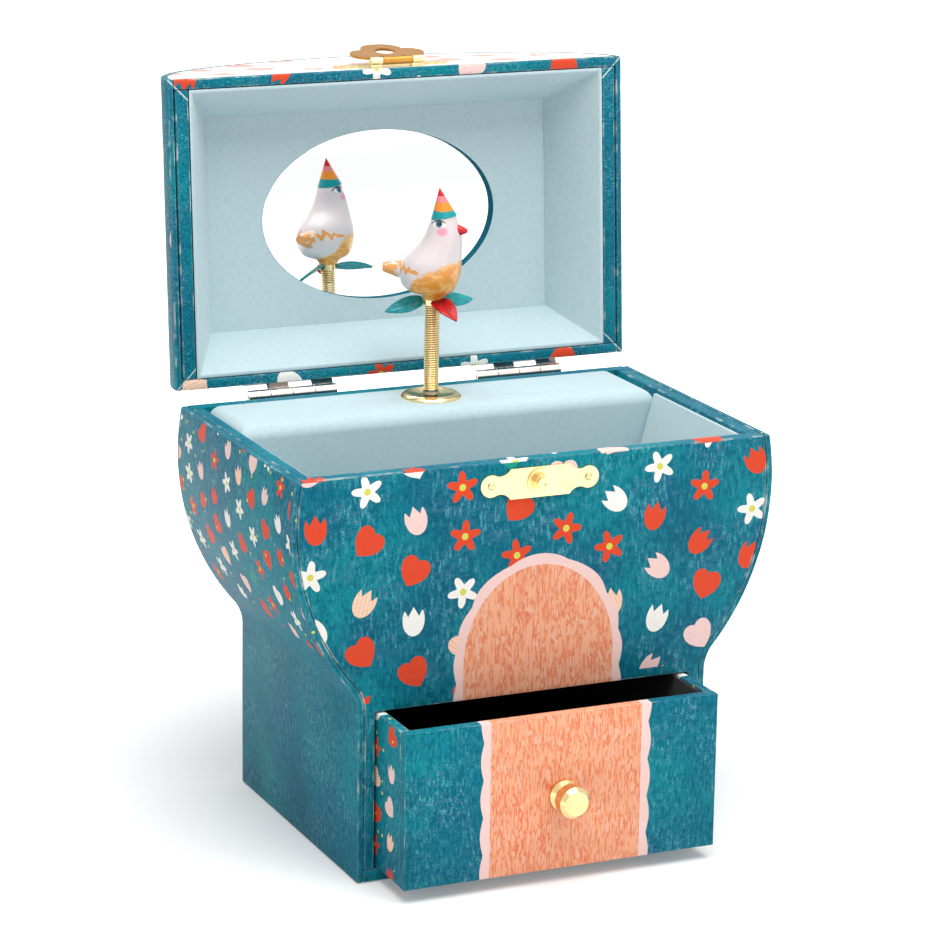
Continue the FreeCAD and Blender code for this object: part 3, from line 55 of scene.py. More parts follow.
class Wire:
    # one socket of a node tree; maths on it adds Math nodes
    def __init__(self, tree, socket):
        self.tree = tree
        self.socket = socket

    def node(self, kind, settings=None, values=None, output=0):
        made = self.tree.nodes.new(kind)
        for name, setting in (settings or {}).items():
            if name == "stops":
                ramp = made.color_ramp
                while len(ramp.elements) < len(setting):
                    ramp.elements.new(1)
                for element, (place, colour) in zip(ramp.elements, setting):
                    element.position = place
                    element.color = colour
            elif name == "blending":
                made.color_ramp.interpolation = setting
            else:
                setattr(made, name, setting)
        for name, value in (values or {}).items():
            target = next((s for s in made.inputs if s.identifier == name), None) or made.inputs[name]
            if isinstance(value, Wire):
                self.tree.links.new(value.socket, target)
            else:
                target.default_value = value
        found = made.outputs[output] if isinstance(output, int) else next(
            s for s in made.outputs if output in (s.identifier, s.name))
        return Wire(self.tree, found)

    def math(self, operation, *others):
        values = {"Value": self}
        for name, other in zip(("Value_001", "Value_002"), others):
            values[name] = other
        return self.node("ShaderNodeMath", {"operation": operation}, values)

    def __add__(self, other):
        return self.math("ADD", other)

    def __radd__(self, other):
        return self.math("ADD", other)

    def __sub__(self, other):
        return self.math("SUBTRACT", other)

    def __rsub__(self, other):
        return (self * -1).math("ADD", other)

    def __mul__(self, other):
        return self.math("MULTIPLY", other)

    def __rmul__(self, other):
        return self.math("MULTIPLY", other)

    def __truediv__(self, other):
        return self.math("DIVIDE", other)

    def __mod__(self, other):
        return self.math("FLOORED_MODULO", other)

    def __pow__(self, other):
        return self.math("POWER", other)

    def __lt__(self, other):
        return self.math("LESS_THAN", other)

    def __gt__(self, other):
        return self.math("GREATER_THAN", other)

    def __abs__(self):
        return self.math("ABSOLUTE")

    def floor(self):
        return self.math("FLOOR")

    def ramp(self, low, high):
        # 0 below low, 1 above high, smooth between
        return self.node("ShaderNodeMapRange", {"interpolation_type": "SMOOTHSTEP"},
                         {"Value": self, "From Min": low, "From Max": high})

    def twoTone(self, first, second, share):
        # first and second are plain colours or wires
        return self.node("ShaderNodeMix", {"data_type": "RGBA"},
                         {"Factor_Float": share, "A_Color": first, "B_Color": second}, "Result_Color")

    def mix(self, other, share):
        return self.twoTone(self, other, share)

    def parts(self):
        return [self.node("ShaderNodeSeparateXYZ", {}, {"Vector": self}, axis) for axis in range(3)]

    def stretched(self, x, y, z):
        return self.node("ShaderNodeVectorMath", {"operation": "MULTIPLY"},
                         {"Vector": self, "Vector_001": (x, y, z)})

    def noise(self, scale, detail=2):
        return self.node("ShaderNodeTexNoise", {}, {"Vector": self, "Scale": scale, "Detail": detail})

    def bump(self, strength, depth):
        return self.node("ShaderNodeBump", {}, {"Height": self, "Strength": strength, "Distance": depth})


def rgb(red, green, blue):
    # screen colour, 0 to 255, as the linear colour that a socket takes
    def linear(value):
        share = value / 255
        return share / 12.92 if share <= 0.04045 else ((share + 0.055) / 1.055) ** 2.4
    return (linear(red), linear(green), linear(blue), 1)


def newFinish(name):
    material = bpy.data.materials.new(name)
    material.use_nodes = True
    tree = material.node_tree
    tree.nodes.clear()
    shader = tree.nodes.new("ShaderNodeBsdfPrincipled")
    result = tree.nodes.new("ShaderNodeOutputMaterial")
    tree.links.new(shader.outputs[0], result.inputs["Surface"])
    place = tree.nodes.new("ShaderNodeTexCoord").outputs["Object"]
    return material, Wire(tree, place)


def setFinish(material, values):
    shader = next(n for n in material.node_tree.nodes if n.type == "BSDF_PRINCIPLED")
    for name, value in values.items():
        if isinstance(value, Wire):
            material.node_tree.links.new(value.socket, shader.inputs[name])
        else:
            shader.inputs[name].default_value = value
    return material


# printed paper

paperPrint = {
    "teal": rgb(0, 108, 130), "deepTeal": rgb(0, 78, 106), "greenTeal": rgb(0, 136, 146),
    "fleck": rgb(120, 190, 202), "slate": rgb(62, 104, 136), "coral": rgb(224, 74, 42),
    "rust": rgb(226, 122, 78), "orange": rgb(243, 176, 140), "peach": rgb(250, 212, 186),
    "pink": rgb(244, 208, 202), "white": rgb(246, 242, 236), "jade": rgb(20, 150, 132),
    "lime": rgb(214, 214, 90), "paperEdge": rgb(206, 216, 212), "paleGround": rgb(238, 238, 234),
    "cell": 0.0165, "smallCell": 0.011, "roughness": 0.52,
    "frontStart": 0.058, "sideStart": 0.074,  # heights from which motifs are printed
    "margin": 0.0486,  # motifs on the sides and the arch stop this far from the middle
}
crayon = {"patches": 26, "shadows": 44, "worn": 75, "strokes": 1250, "slanted": 900, "grain": 2400}
motif = {
    "size": 0.33, "shift": 0.16, "turn": 1.8,
    "petals": 5, "petalDepth": 0.26, "petalReach": 0.7, "eye": 0.2,
    "daisies": 0.3, "hearts": 0.62,  # chances up to which a cell holds a daisy or a heart
    "redDaisies": 0.3, "hatchFrom": 0.5, "hatchTo": 0.66,
}
dot = {"cell": 0.0048, "reach": 0.12, "scatter": 0.85}
panelArch = {"middle": 0.001, "half": 0.0255, "spring": 0.066, "rise": 0.030,
             "border": 1.09, "scallop": 0.04, "waves": 260}

lidHinge = {"centre": (0, 0.0536, 0.1302), "open": math.radians(94)}
lidArch = {"half": 0.08, "rise": 0.05, "endRadius": 0.036, "base": 0.1304}
caseRim = {"height": 0.13, "depth": 0.0006}
lidRim = {
    "depth": 0.0008,
    "corner": 0.03,  # half width less half depth
    "mitre": 0.0003, "waver": 0.0008,
}


def shutLid(place):
    # where a point of the open lid lies when the lid is shut
    return place.node("ShaderNodeVectorRotate", {"rotation_type": "AXIS_ANGLE"},
                      {"Vector": place, "Center": lidHinge["centre"], "Axis": (1, 0, 0),
                       "Angle": lidHinge["open"]})


def archLength(x, z):
    # distance round the lid's arch from its crown, negative to the left
    half, rise, endRadius = lidArch["half"], lidArch["rise"], lidArch["endRadius"]
    crownRadius = (half ** 2 + rise ** 2 - 2 * half * endRadius) / (2 * (rise - endRadius))
    drop, endX = crownRadius - rise, half - endRadius
    shoulder = math.atan2(endX, drop)
    side = abs(x)
    turn = side.math("ARCTAN2", z - (lidArch["base"] - drop))
    crown = turn * crownRadius
    endTurn = (side - endX).math("ARCTAN2", z - lidArch["base"])
    end = (endTurn - shoulder) * endRadius + shoulder * crownRadius
    return (crown + (turn > shoulder) * (end - crown)) * x.math("SIGN")


def crayonGround(place):
    # uneven layers of crayon: broad patches, short upright strokes, bare flecks where it is worn
    patches = place.noise(crayon["patches"], 4).ramp(0.38, 0.66)
    shadows = place.noise(crayon["shadows"], 3).ramp(0.5, 0.72)
    worn = place.noise(crayon["worn"], 3).ramp(0.4, 0.64)
    strokes = place.stretched(1, 1, 0.32).noise(crayon["strokes"], 3)
    slanted = place.stretched(0.5, 0.5, 1).noise(crayon["slanted"], 3)
    grain = place.noise(crayon["grain"])
    ground = place.twoTone(paperPrint["teal"], paperPrint["greenTeal"], patches * 0.8)
    ground = ground.mix(paperPrint["deepTeal"], shadows * 0.5)
    ground = ground.mix(paperPrint["deepTeal"], (1 - strokes * 0.6 - slanted * 0.4).ramp(0.5, 0.6) * 0.55)
    ground = ground.mix(paperPrint["slate"], slanted.ramp(0.5, 0.62) * worn * 0.6)
    flecks = (grain * 0.4 + strokes * 0.6).ramp(0.53, 0.63)
    return ground.mix(paperPrint["fleck"], flecks * (worn * 0.4 + 0.14)), grain


def scattered(place, across, up, cell):
    # a half-drop repeat of daisies, hearts and tulips, each cell with its own turn and colour
    column = (across / cell).floor()
    raised = up / cell + (column % 2) * 0.5
    row = raised.floor()
    corner = place.node("ShaderNodeCombineXYZ", {}, {"X": column, "Y": row})
    chance = place.node("ShaderNodeTexWhiteNoise", {"noise_dimensions": "2D"}, {"Vector": corner},
                        "Color").parts()
    x = (across / cell - column - 0.5 + (chance[0] - 0.5) * motif["shift"]) / motif["size"]
    y = (raised - row - 0.5 + (chance[1] - 0.5) * motif["shift"]) / motif["size"]
    turn = (chance[2] - 0.5) * motif["turn"]
    cosine, sine = turn.math("COSINE"), turn.math("SINE")
    x, y = x * cosine - y * sine, x * sine + y * cosine
    reach = (x * x + y * y) ** 0.5
    angle = y.math("ARCTAN2", x)
    daisy = reach < (angle * motif["petals"]).math("COSINE") * motif["petalDepth"] + motif["petalReach"]
    middle = reach < motif["eye"]
    hx, hy = x * 1.2, y * 1.2 + 0.1
    bulge = hx * hx + hy * hy - 0.9
    heart = (bulge * bulge * bulge - hx * hx * hy * hy * hy) < 0
    cup = (x * x * 2.2 + y * y * 1.1) < 1
    tulip = cup * (y < abs(abs(x) - 0.33) * 1.7 + 0.2)
    choice = (chance[0] * 7.31) % 1
    isDaisy = choice < motif["daisies"]
    isHeart = (choice < motif["hearts"]) * (1 - isDaisy)
    shape = daisy * isDaisy + heart * isHeart + tulip * (1 - isDaisy - isHeart)
    shade = (chance[1] * 5.77) % 1
    stops = [(0, paperPrint["coral"]), (0.32, paperPrint["pink"]), (0.5, paperPrint["peach"]),
             (0.66, paperPrint["coral"]), (0.8, paperPrint["white"]), (0.92, paperPrint["jade"])]
    colour = place.node("ShaderNodeValToRGB", {"stops": stops, "blending": "CONSTANT"}, {"Fac": shade},
                        "Color")
    isHatched = (shade > motif["hatchFrom"]) * (shade < motif["hatchTo"]) * (1 - isDaisy)
    hatch = (((x + y * 0.3) * 4) % 1 < 0.16) * isHatched
    colour = colour.mix(paperPrint["orange"], hatch)
    colour = colour.mix(paperPrint["white"], isDaisy * (shade > motif["redDaisies"]))
    colour = colour.mix(paperPrint["lime"], isDaisy * middle)
    return colour, shape


def dotted(place):
    near = place.node("ShaderNodeTexVoronoi", {"feature": "F1"},
                      {"Vector": place, "Scale": 1 / dot["cell"], "Randomness": dot["scatter"]}, "Distance")
    return near < dot["reach"]


def archedPanel(place, across, up):
    # a tall arch of coral hatching with a pale scalloped border
    x = (across - panelArch["middle"]) / panelArch["half"]
    y = up.math("MAXIMUM", panelArch["spring"]) - panelArch["spring"]
    scallop = abs((up * panelArch["waves"]).math("SINE")) * panelArch["scallop"]
    reach = (x * x + y * y * (1 / panelArch["rise"] ** 2)) ** 0.5
    panel = reach < 1
    border = (reach < scallop + panelArch["border"]) * (1 - panel)
    strokes = place.stretched(1, 1, 0.14).noise(1150)
    broken = place.stretched(1, 1, 0.5).noise(700)
    marks = (strokes * 0.8 + broken * 0.2).ramp(0.44, 0.54)
    shade = place.twoTone(paperPrint["orange"], paperPrint["rust"], marks * 0.9)
    pale = (strokes * 0.7 + broken * 0.3).ramp(0.53, 0.58)
    cloud = place.noise(60).ramp(0.4, 0.7)
    shade = shade.mix(paperPrint["coral"], cloud * marks * 0.25)
    return shade.mix(paperPrint["peach"], pale * 0.6), panel, border


def printedPaper(name, across, up, cell, start=None, panel=False, dots=False, pale=False, lid=False,
                 arch=False):
    # across and up number the axes of the sheet; start is the height from which motifs are printed
    material, place = newFinish(name)
    if lid:
        place = shutLid(place)
    axes = place.parts()
    colour, grain = crayonGround(place)
    along, height = axes[across], axes[up]
    rim = axes[2] < lidArch["base"] + lidRim["depth"]
    top = axes[2] > caseRim["height"] - caseRim["depth"]
    if arch:
        along = archLength(axes[0], axes[2])
    elif lid:
        height = height + rim * (axes[1] - height)  # the paper turns over the rim
    elif panel:
        height = height + top * (axes[1] - height)
    if pale:
        colour = place.twoTone(paperPrint["paleGround"], colour, rim)
    if cell:
        motifs, shape = scattered(place, along, height, cell)
        if pale:
            motifs = motifs.mix(paperPrint["white"], (1 - rim) * 0.45)
        if arch:
            shape = shape * (1 - rim) * (abs(axes[1]) < paperPrint["margin"])
        worn = place.noise(1500).ramp(0.3, 0.42)
        share = shape * (worn * 0.25 + 0.75)
        if start:
            share = share * (axes[2] > start)
            if across == 1:
                share = share * (abs(axes[1]) < paperPrint["margin"]) * (1 - top)
        colour = colour.mix(motifs, share)
    if dots:
        share = dotted(place)
        if start:
            share = share * (axes[2] > start)
        colour = colour.mix(paperPrint["lime"], share)
    if panel:
        hatching, inside, border = archedPanel(place, axes[0], axes[2])
        colour = colour.mix(paperPrint["pink"], border).mix(hatching, inside)
    if lid:
        # the line at each corner where the turned paper meets
        corner = abs(axes[0]) - abs(axes[1]) - lidRim["corner"]
        mitre = abs(corner + (grain - 0.5) * lidRim["waver"]) < lidRim["mitre"]
        colour = colour.mix(paperPrint["paperEdge"], rim * mitre * 0.9)
    edge = place.node("ShaderNodeAttribute", {"attribute_name": "edgeWear"}, {}, "Fac")
    rubbed = place.noise(170, 4).ramp(0.52, 0.7)
    colour = colour.mix(paperPrint["paperEdge"], edge * (rubbed * 0.55 + 0.05))
    rough = grain * 0.16 + (paperPrint["roughness"] - 0.08)
    return setFinish(material, {"Base Color": colour, "Roughness": rough, "Specular IOR Level": 0.12,
                                "Normal": grain.bump(0.12, 0.0002)})


# linings, boards and metals

lining = {"colour": rgb(188, 210, 215), "shade": rgb(174, 198, 205), "light": rgb(210, 226, 229)}
black = {"colour": rgb(20, 20, 22), "shade": rgb(10, 10, 12), "light": rgb(38, 40, 44)}
pileGrain = {"pile": 3200, "tufts": 700, "cloud": 40, "depth": 0.0003}
ovalWindow = {"half": (0.0415, 0.028), "cut": rgb(0, 96, 116)}


def flock(name, tones):
    material, place = newFinish(name)
    pile = place.noise(pileGrain["pile"])
    tufts = place.noise(pileGrain["tufts"], 3)
    cloud = place.noise(pileGrain["cloud"])
    mixed = place.twoTone(tones["colour"], tones["shade"], tufts.ramp(0.45, 0.75) * 0.5)
    mixed = mixed.mix(tones["light"], (pile * 0.7 + cloud * 0.3).ramp(0.52, 0.68) * 0.5)
    return setFinish(material, {"Base Color": mixed, "Roughness": 0.92, "Specular IOR Level": 0.15,
                                "Sheen Weight": 0.25, "Sheen Roughness": 0.5,
                                "Normal": (pile + tufts * 0.5).bump(0.25, pileGrain["depth"])})


def ceilingCard():
    # flock with the bare cut of the card showing round the window
    material, place = newFinish("ceilingCard")
    x, y, _ = shutLid(place).parts()
    pile = place.noise(pileGrain["pile"])
    tufts = place.noise(pileGrain["tufts"], 3)
    mixed = place.twoTone(lining["colour"], lining["shade"], tufts.ramp(0.45, 0.75) * 0.5)
    mixed = mixed.mix(lining["light"], pile.ramp(0.52, 0.68) * 0.4)
    reach = ((x / ovalWindow["half"][0]) ** 2 + (y / ovalWindow["half"][1]) ** 2) ** 0.5
    mixed = mixed.mix(ovalWindow["cut"], reach < 1.003)
    return setFinish(material, {"Base Color": mixed, "Roughness": 0.92, "Specular IOR Level": 0.15,
                                "Normal": pile.bump(0.25, pileGrain["depth"])})


def greyBoard():
    material, place = newFinish("greyBoard")
    fibres = place.stretched(1, 0.2, 1).noise(900, 3)
    mixed = place.twoTone(rgb(172, 160, 140), rgb(142, 130, 112), fibres.ramp(0.4, 0.7))
    return setFinish(material, {"Base Color": mixed, "Roughness": 0.85, "Normal": fibres.bump(0.2, 0.0002)})


def metal(name, colour, tarnish, rough, brushed):
    material, place = newFinish(name)
    cloud = place.noise(160, 3)
    lines = place.stretched(0.12, 1, 1).noise(2600)
    mixed = place.twoTone(colour, tarnish, cloud.ramp(0.42, 0.75) * 0.45)
    return setFinish(material, {"Base Color": mixed, "Metallic": 1,
                                "Roughness": (lines - 0.5) * brushed + cloud * 0.08 + rough,
                                "Normal": lines.bump(0.03 + brushed * 0.2, 0.0001)})


def mirrorGlass():
    material, place = newFinish("mirrorGlass")
    smear = place.noise(60)
    mixed = place.twoTone(rgb(255, 255, 255), rgb(250, 252, 252), smear)
    return setFinish(material, {"Base Color": mixed, "Metallic": 1, "Roughness": smear * 0.02 + 0.005})


frontPaper = printedPaper("frontPaper", 0, 2, paperPrint["cell"], start=paperPrint["frontStart"], panel=True)
drawerPaper = printedPaper("drawerPaper", 0, 2, 0, panel=True)
sidePaper = printedPaper("sidePaper", 1, 2, paperPrint["smallCell"], start=paperPrint["sideStart"], dots=True)
drawerSidePaper = printedPaper("drawerSidePaper", 1, 2, paperPrint["smallCell"], dots=True)
backPaper = printedPaper("backPaper", 0, 2, 0)
lidPaper = printedPaper("lidPaper", 0, 2, paperPrint["cell"], pale=True, lid=True)
archPaper = printedPaper("archPaper", 0, 1, paperPrint["cell"], lid=True, arch=True)
rimPaper = printedPaper("rimPaper", 0, 2, paperPrint["cell"], lid=True)
railPaper = printedPaper("railPaper", 0, 2, 0, lid=True)
plainPaper = printedPaper("plainPaper", 0, 2, 0)
liningFlock = flock("liningFlock", lining)
blackFlock = flock("blackFlock", black)
giltBrass = metal("giltBrass", rgb(240, 212, 156), rgb(222, 186, 124), 0.16, 0.06)
satinGilt = metal("satinGilt", rgb(234, 210, 160), rgb(218, 188, 132), 0.3, 0.14)
movementBrass = metal("movementBrass", rgb(218, 180, 104), rgb(196, 156, 84), 0.3, 0.12)
nickelPlate = metal("nickelPlate", rgb(220, 208, 202), rgb(198, 178, 170), 0.2, 0.08)
groundSteel = metal("groundSteel", rgb(170, 172, 174), rgb(140, 142, 146), 0.32, 0.16)
# painted shade: a darker copy of the gilt for the hasp, whose underside, turned from the lamps, is the face
# in view
shadedGilt = metal("shadedGilt", rgb(192, 136, 62), rgb(174, 116, 48), 0.34, 0.14)
print("papers, linings and metals ready")


# boards with paper folded over their edges

fold = {"board": 0.0005, "lining": 0.0003, "deck": 0.0008, "merge": 1e-6,
        "flat": math.radians(0.4), "sharp": math.radians(28), "smooth": math.radians(32)}


def startEdit(obj):
    bpy.ops.object.select_all(action="DESELECT")
    obj.select_set(True)
    bpy.context.view_layer.objects.active = obj
    bpy.ops.object.mode_set(mode="EDIT")


def stopEdit():
    bpy.ops.object.mode_set(mode="OBJECT")


def dress(obj, material, body):
    obj.data.materials.clear()
    obj.data.materials.append(material)
    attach(obj, body)


def foldedBoard(node, material, body, radius=fold["board"], segments=2):
    # the node's own shape with its sharp edges rounded, and those edges marked for wear
    board = bpy.data.objects.new(node + "Board", nodes[node].data.copy())
    board.data.materials.clear()
    board.data.materials.append(material)
    board.data.materials.append(material)  # the bevel's faces are told apart by this second slot
    bpy.context.scene.collection.objects.link(board)
    startEdit(board)
    bpy.ops.mesh.select_mode(type="EDGE")
    bpy.ops.mesh.select_all(action="SELECT")
    bpy.ops.mesh.remove_doubles(threshold=fold["merge"])
    bpy.ops.mesh.customdata_custom_splitnormals_clear()
    bpy.ops.mesh.dissolve_limited(angle_limit=fold["flat"])
    bpy.ops.mesh.select_all(action="DESELECT")
    bpy.ops.mesh.edges_select_sharp(sharpness=fold["sharp"])
    bpy.ops.mesh.bevel(offset=radius, segments=segments, profile=0.5, clamp_overlap=True, material=1)
    stopEdit()
    wear = board.data.attributes.new("edgeWear", "FLOAT", "FACE")
    for polygon in board.data.polygons:
        wear.data[polygon.index].value = polygon.material_index
        polygon.material_index = 0
    bpy.ops.object.shade_smooth_by_angle(angle=fold["smooth"])
    dress(board, material, body)
    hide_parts(node)
    return board


boards = {
    "case": {"front_panel": frontPaper, "back_panel": backPaper, "left_side_card": sidePaper,
             "right_side_card": sidePaper, "left_tray_wall": plainPaper, "right_tray_wall": plainPaper,
             "base_board": plainPaper},
    "drawer": {"drawer_front": drawerPaper, "drawer_sides": drawerSidePaper, "drawer_back": plainPaper},
    "lid": {"lid_front_panel": lidPaper, "lid_back_panel": rimPaper, "lid_arch_card": archPaper,
            "lid_end_rails": railPaper},
}
for body, pieces in boards.items():
    for node, paper in pieces.items():
        foldedBoard(node, paper, body)
linings = {
    "case": ("floor_lining", "front_lining", "left_lining", "right_lining"),
    "lid": ("lid_liner",),
}
for body, pieces in linings.items():
    for node in pieces:
        foldedBoard(node, liningFlock, body, fold["lining"])
deck = foldedBoard("deck_cover", liningFlock, "case", fold["deck"], 3)
print("boards folded")


# pieces that keep the solid's own mesh

def paint(node, material):
    nodes[node].data.materials.clear()
    nodes[node].data.materials.append(material)


kept = {
    giltBrass: ("drawer_knob", "deck_bezel", "strike_stud", "figure_collar"),
    satinGilt: ("strike_plate", "hasp_mount"),
    # the hasp takes the darker gilt, its painted shade
    shadedGilt: ("hasp",),
    movementBrass: ("bedplate", "barrel_bridge", "cylinder_brackets", "crown_wheel", "barrel_drum",
                    "tune_cylinder", "cylinder_gear", "cylinder_pinion", "governor_frame", "comb_base",
                    "governor_staff"),
    nickelPlate: ("case_hinge_leaves", "lid_hinge_leaves", "hinge_pins"),
    groundSteel: ("movement_screws", "comb_screws", "tuned_comb", "mainspring", "winding_arbor",
                  "winding_key", "cylinder_shaft", "fan_worm"),
    greyBoard(): ("drawer_guides", "drawer_bay_shelf"),
    blackFlock: ("drawer_lining",),
    plainPaper: ("drawer_bottom",),
    mirrorGlass(): ("mirror",),
    ceilingCard(): ("lid_ceiling",),
}
for material, group in kept.items():
    for node in group:
        paint(node, material)


# nails of the strike plate and the hinges

nail = {"radius": 0.0011, "rise": 0.0006, "across": 0.0164, "segments": 16, "rings": 8,
        "smooth": math.radians(40)}
hingeNail = {"offset": 0.0405, "apart": 0.0095, "drop": 0.0077, "face": 0.0508}


def plateNail(name, foot, way, body, material):
    # a flat-bottomed domed head, modelled upright and turned to its plate
    bpy.ops.object.select_all(action="DESELECT")
    bpy.ops.mesh.primitive_uv_sphere_add(segments=nail["segments"], ring_count=nail["rings"],
                                         radius=nail["radius"])
    head = bpy.context.object
    head.name = name
    startEdit(head)
    bpy.ops.mesh.select_all(action="SELECT")
    bpy.ops.mesh.bisect(plane_co=(0, 0, 0), plane_no=(0, 0, 1), use_fill=True, clear_inner=True)
    bpy.ops.mesh.select_all(action="SELECT")
    bpy.ops.transform.resize(value=(1, 1, nail["rise"] / nail["radius"]))
    stopEdit()
    turn = Vector(way).to_track_quat("Z", "Y").to_matrix().to_4x4()
    head.data.transform(Matrix.Translation(foot) @ turn)
    bpy.ops.object.shade_smooth_by_angle(angle=nail["smooth"])
    dress(head, material, body)


def clasp():
    low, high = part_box("strike_plate")
    for side in (-1, 1):
        foot = Vector((side * nail["across"], low.y, (low.z + high.z) / 2))
        plateNail("strikeNail", foot, (0, -1, 0), "case", giltBrass)


def hinges():
    # two nails in each leaf; the lid's are set shut and turned to the open lid
    middle = Vector(lidHinge["centre"])
    opened = Matrix.Rotation(-lidHinge["open"], 3, "X")
    outward = Vector((0, 1, 0))
    for x in (side * hingeNail["offset"] + end * hingeNail["apart"] for side in (-1, 1) for end in (-1, 1)):
        foot = Vector((x, hingeNail["face"], middle.z - hingeNail["drop"]))
        plateNail("caseHingeNail", foot, outward, "case", nickelPlate)
        foot = Vector((x, hingeNail["face"], middle.z + hingeNail["drop"]))
        foot = middle + opened @ (foot - middle)
        plateNail("lidHingeNail", foot, opened @ outward, "lid", nickelPlate)


clasp()
hinges()
print("nails set")


# spring post

springPost = {"wire": 0.00032, "radius": 0.00218, "turns": 37, "sides": 8, "steps": 24, "bend": 0.017}


def closeSpring():
    # a ring of wire wound straight up the post, though its lowest stretch bends as the lid shuts
    low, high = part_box("spring_post")
    middle = (low + high) / 2
    wire = springPost["wire"]
    rise = (high.z - low.z - 2 * wire) / springPost["turns"]
    bpy.ops.mesh.primitive_circle_add(vertices=springPost["sides"], radius=wire, fill_type="NGON",
                                      rotation=(math.pi / 2, 0, 0), location=(springPost["radius"], 0, 0))
    spring = bpy.context.object
    spring.name = "closeSpring"
    bpy.ops.object.transform_apply(location=True, rotation=True, scale=True)
    winding = spring.modifiers.new("winding", "SCREW")
    winding.screw_offset = rise
    winding.iterations = springPost["turns"]
    winding.steps = winding.render_steps = springPost["steps"]
    winding.use_merge_vertices = False
    startEdit(spring)
    bpy.ops.mesh.select_all(action="SELECT")
    bpy.ops.mesh.delete(type="ONLY_FACE")
    stopEdit()
    bpy.ops.object.modifier_apply(modifier="winding")
    startEdit(spring)
    bpy.ops.mesh.select_all(action="SELECT")
    bpy.ops.mesh.fill_holes(sides=springPost["sides"])
    bpy.ops.mesh.normals_make_consistent(inside=False)
    bpy.ops.transform.translate(value=(middle.x, middle.y, low.z + wire))
    stopEdit()
    bpy.ops.object.shade_smooth()
    spring.data.materials.append(giltBrass)
    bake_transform(spring)
    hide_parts("spring_post")


closeSpring()
print("spring wound")


# bird, hat and leaves

bird = {
    "axis": (0, 0.033), "turn": math.radians(-34), "base": 0.1626,
    "white": rgb(228, 218, 218), "blush": rgb(224, 202, 204), "mustard": rgb(240, 154, 50),
    "straw": rgb(250, 200, 112), "cheek": rgb(238, 140, 166), "iris": rgb(40, 104, 128),
    "eyeDark": rgb(14, 34, 44), "eyeWhite": rgb(240, 240, 238),
}
# places and sizes of the bird's paint in mm, forward and up from the foot of its axis
brushed = {
    "bellyTop": 10.6, "bellySlope": 0.35, "wingBack": -10.8, "wingFront": -3, "wingHeight": 10.2,
    "zigzag": 2.1, "tail": -11, "faceSide": 1.6, "cheek": (3.9, 23.1), "cheekSize": (1.9, 1.5),
    "eye": (2.7, 25.5), "eyeSize": (2.2, 1.15), "iris": 1.1, "pupil": 0.6, "pupilShift": (0.25, 0.1),
    "lashRise": 1.05, "lashHalf": 2.3, "lashThick": 0.2,
}


def birdPlace(place):
    # the bird's own axes: x towards its beak, y to its left, z up from its base
    turned = place.node("ShaderNodeVectorRotate", {"rotation_type": "AXIS_ANGLE"},
                        {"Vector": place, "Center": (bird["axis"][0], bird["axis"][1], 0), "Axis": (0, 0, 1),
                         "Angle": -bird["turn"]})
    x, y, z = turned.parts()
    return turned, x, y - bird["axis"][1], z - bird["base"]


def birdPaint():
    # brushed belly, a zigzag stroke on each wing, a streaked tail, cheeks and eyes
    material, place = newFinish("birdPaint")
    turned, x, y, z = birdPlace(place)
    x, y, z = x * 1000, y * 1000, z * 1000
    cloud = place.noise(160)
    brush = turned.stretched(0.45, 1, 1).noise(620)
    colour = place.twoTone(bird["white"], bird["blush"], (cloud * 5 + z).ramp(10, 24) * 0.45)
    behind = (x + 2).math("MINIMUM", 0)
    edge = x * brushed["bellySlope"] + brushed["bellyTop"] - behind * behind * 0.2
    belly = (edge - z + (brush - 0.5) * 5).ramp(-0.6, 1.4)
    mustard = place.twoTone(bird["mustard"], bird["straw"], brush.ramp(0.46, 0.62) * 0.8)
    colour = colour.mix(mustard, belly)
    fade = 1 - x.ramp(-8.6, -4)
    wave = abs((x / brushed["zigzag"]) % 1 - 0.5) * fade * 4.4 - fade * 0.6
    zigzag = wave + brushed["wingHeight"] + (brush - 0.5) * 2
    onWing = (x > brushed["wingBack"]) * (x < brushed["wingFront"])
    wing = (abs(z - zigzag) < fade * 0.35 + 0.6) * onWing
    tail = (x < brushed["tail"]) * (brush > 0.42)
    colour = colour.mix(bird["mustard"], wing * 0.95).mix(bird["mustard"], tail * 0.9)
    side = abs(y) > brushed["faceSide"]
    across = (x - brushed["cheek"][0]) / brushed["cheekSize"][0]
    up = (z - brushed["cheek"][1]) / brushed["cheekSize"][1]
    colour = colour.mix(bird["cheek"], (1 - (across ** 2 + up ** 2).ramp(0.25, 1.3)) * side * 0.8)
    across, up = x - brushed["eye"][0], z - brushed["eye"][1]
    white = (((across / brushed["eyeSize"][0]) ** 2 + (up / brushed["eyeSize"][1]) ** 2) < 1) * side
    iris = ((across * across + up * up) ** 0.5 < brushed["iris"]) * side
    pupilX, pupilY = across - brushed["pupilShift"][0], up - brushed["pupilShift"][1]
    pupil = ((pupilX ** 2 + pupilY ** 2) ** 0.5 < brushed["pupil"]) * side
    lash = abs(up - brushed["lashRise"] + across * across * 0.2) < brushed["lashThick"]
    lash = lash * (abs(across + 0.3) < brushed["lashHalf"]) * side
    for shade, mask in (("eyeWhite", white), ("iris", iris), ("eyeDark", pupil), ("eyeDark", lash)):
        colour = colour.mix(bird[shade], mask)
    return setFinish(material, {"Base Color": colour, "Roughness": brush * 0.12 + 0.26, "Coat Weight": 0.35,
                                "Coat Roughness": 0.18, "Normal": brush.bump(0.05, 0.0002)})


beak = {"red": rgb(206, 24, 36), "shade": rgb(176, 14, 30), "radius": 0.0025, "tip": 0.0006, "long": 0.0042,
        "sunk": 0.0006, "shift": 0.0077, "rise": 0.0228, "rounding": 0.0004}


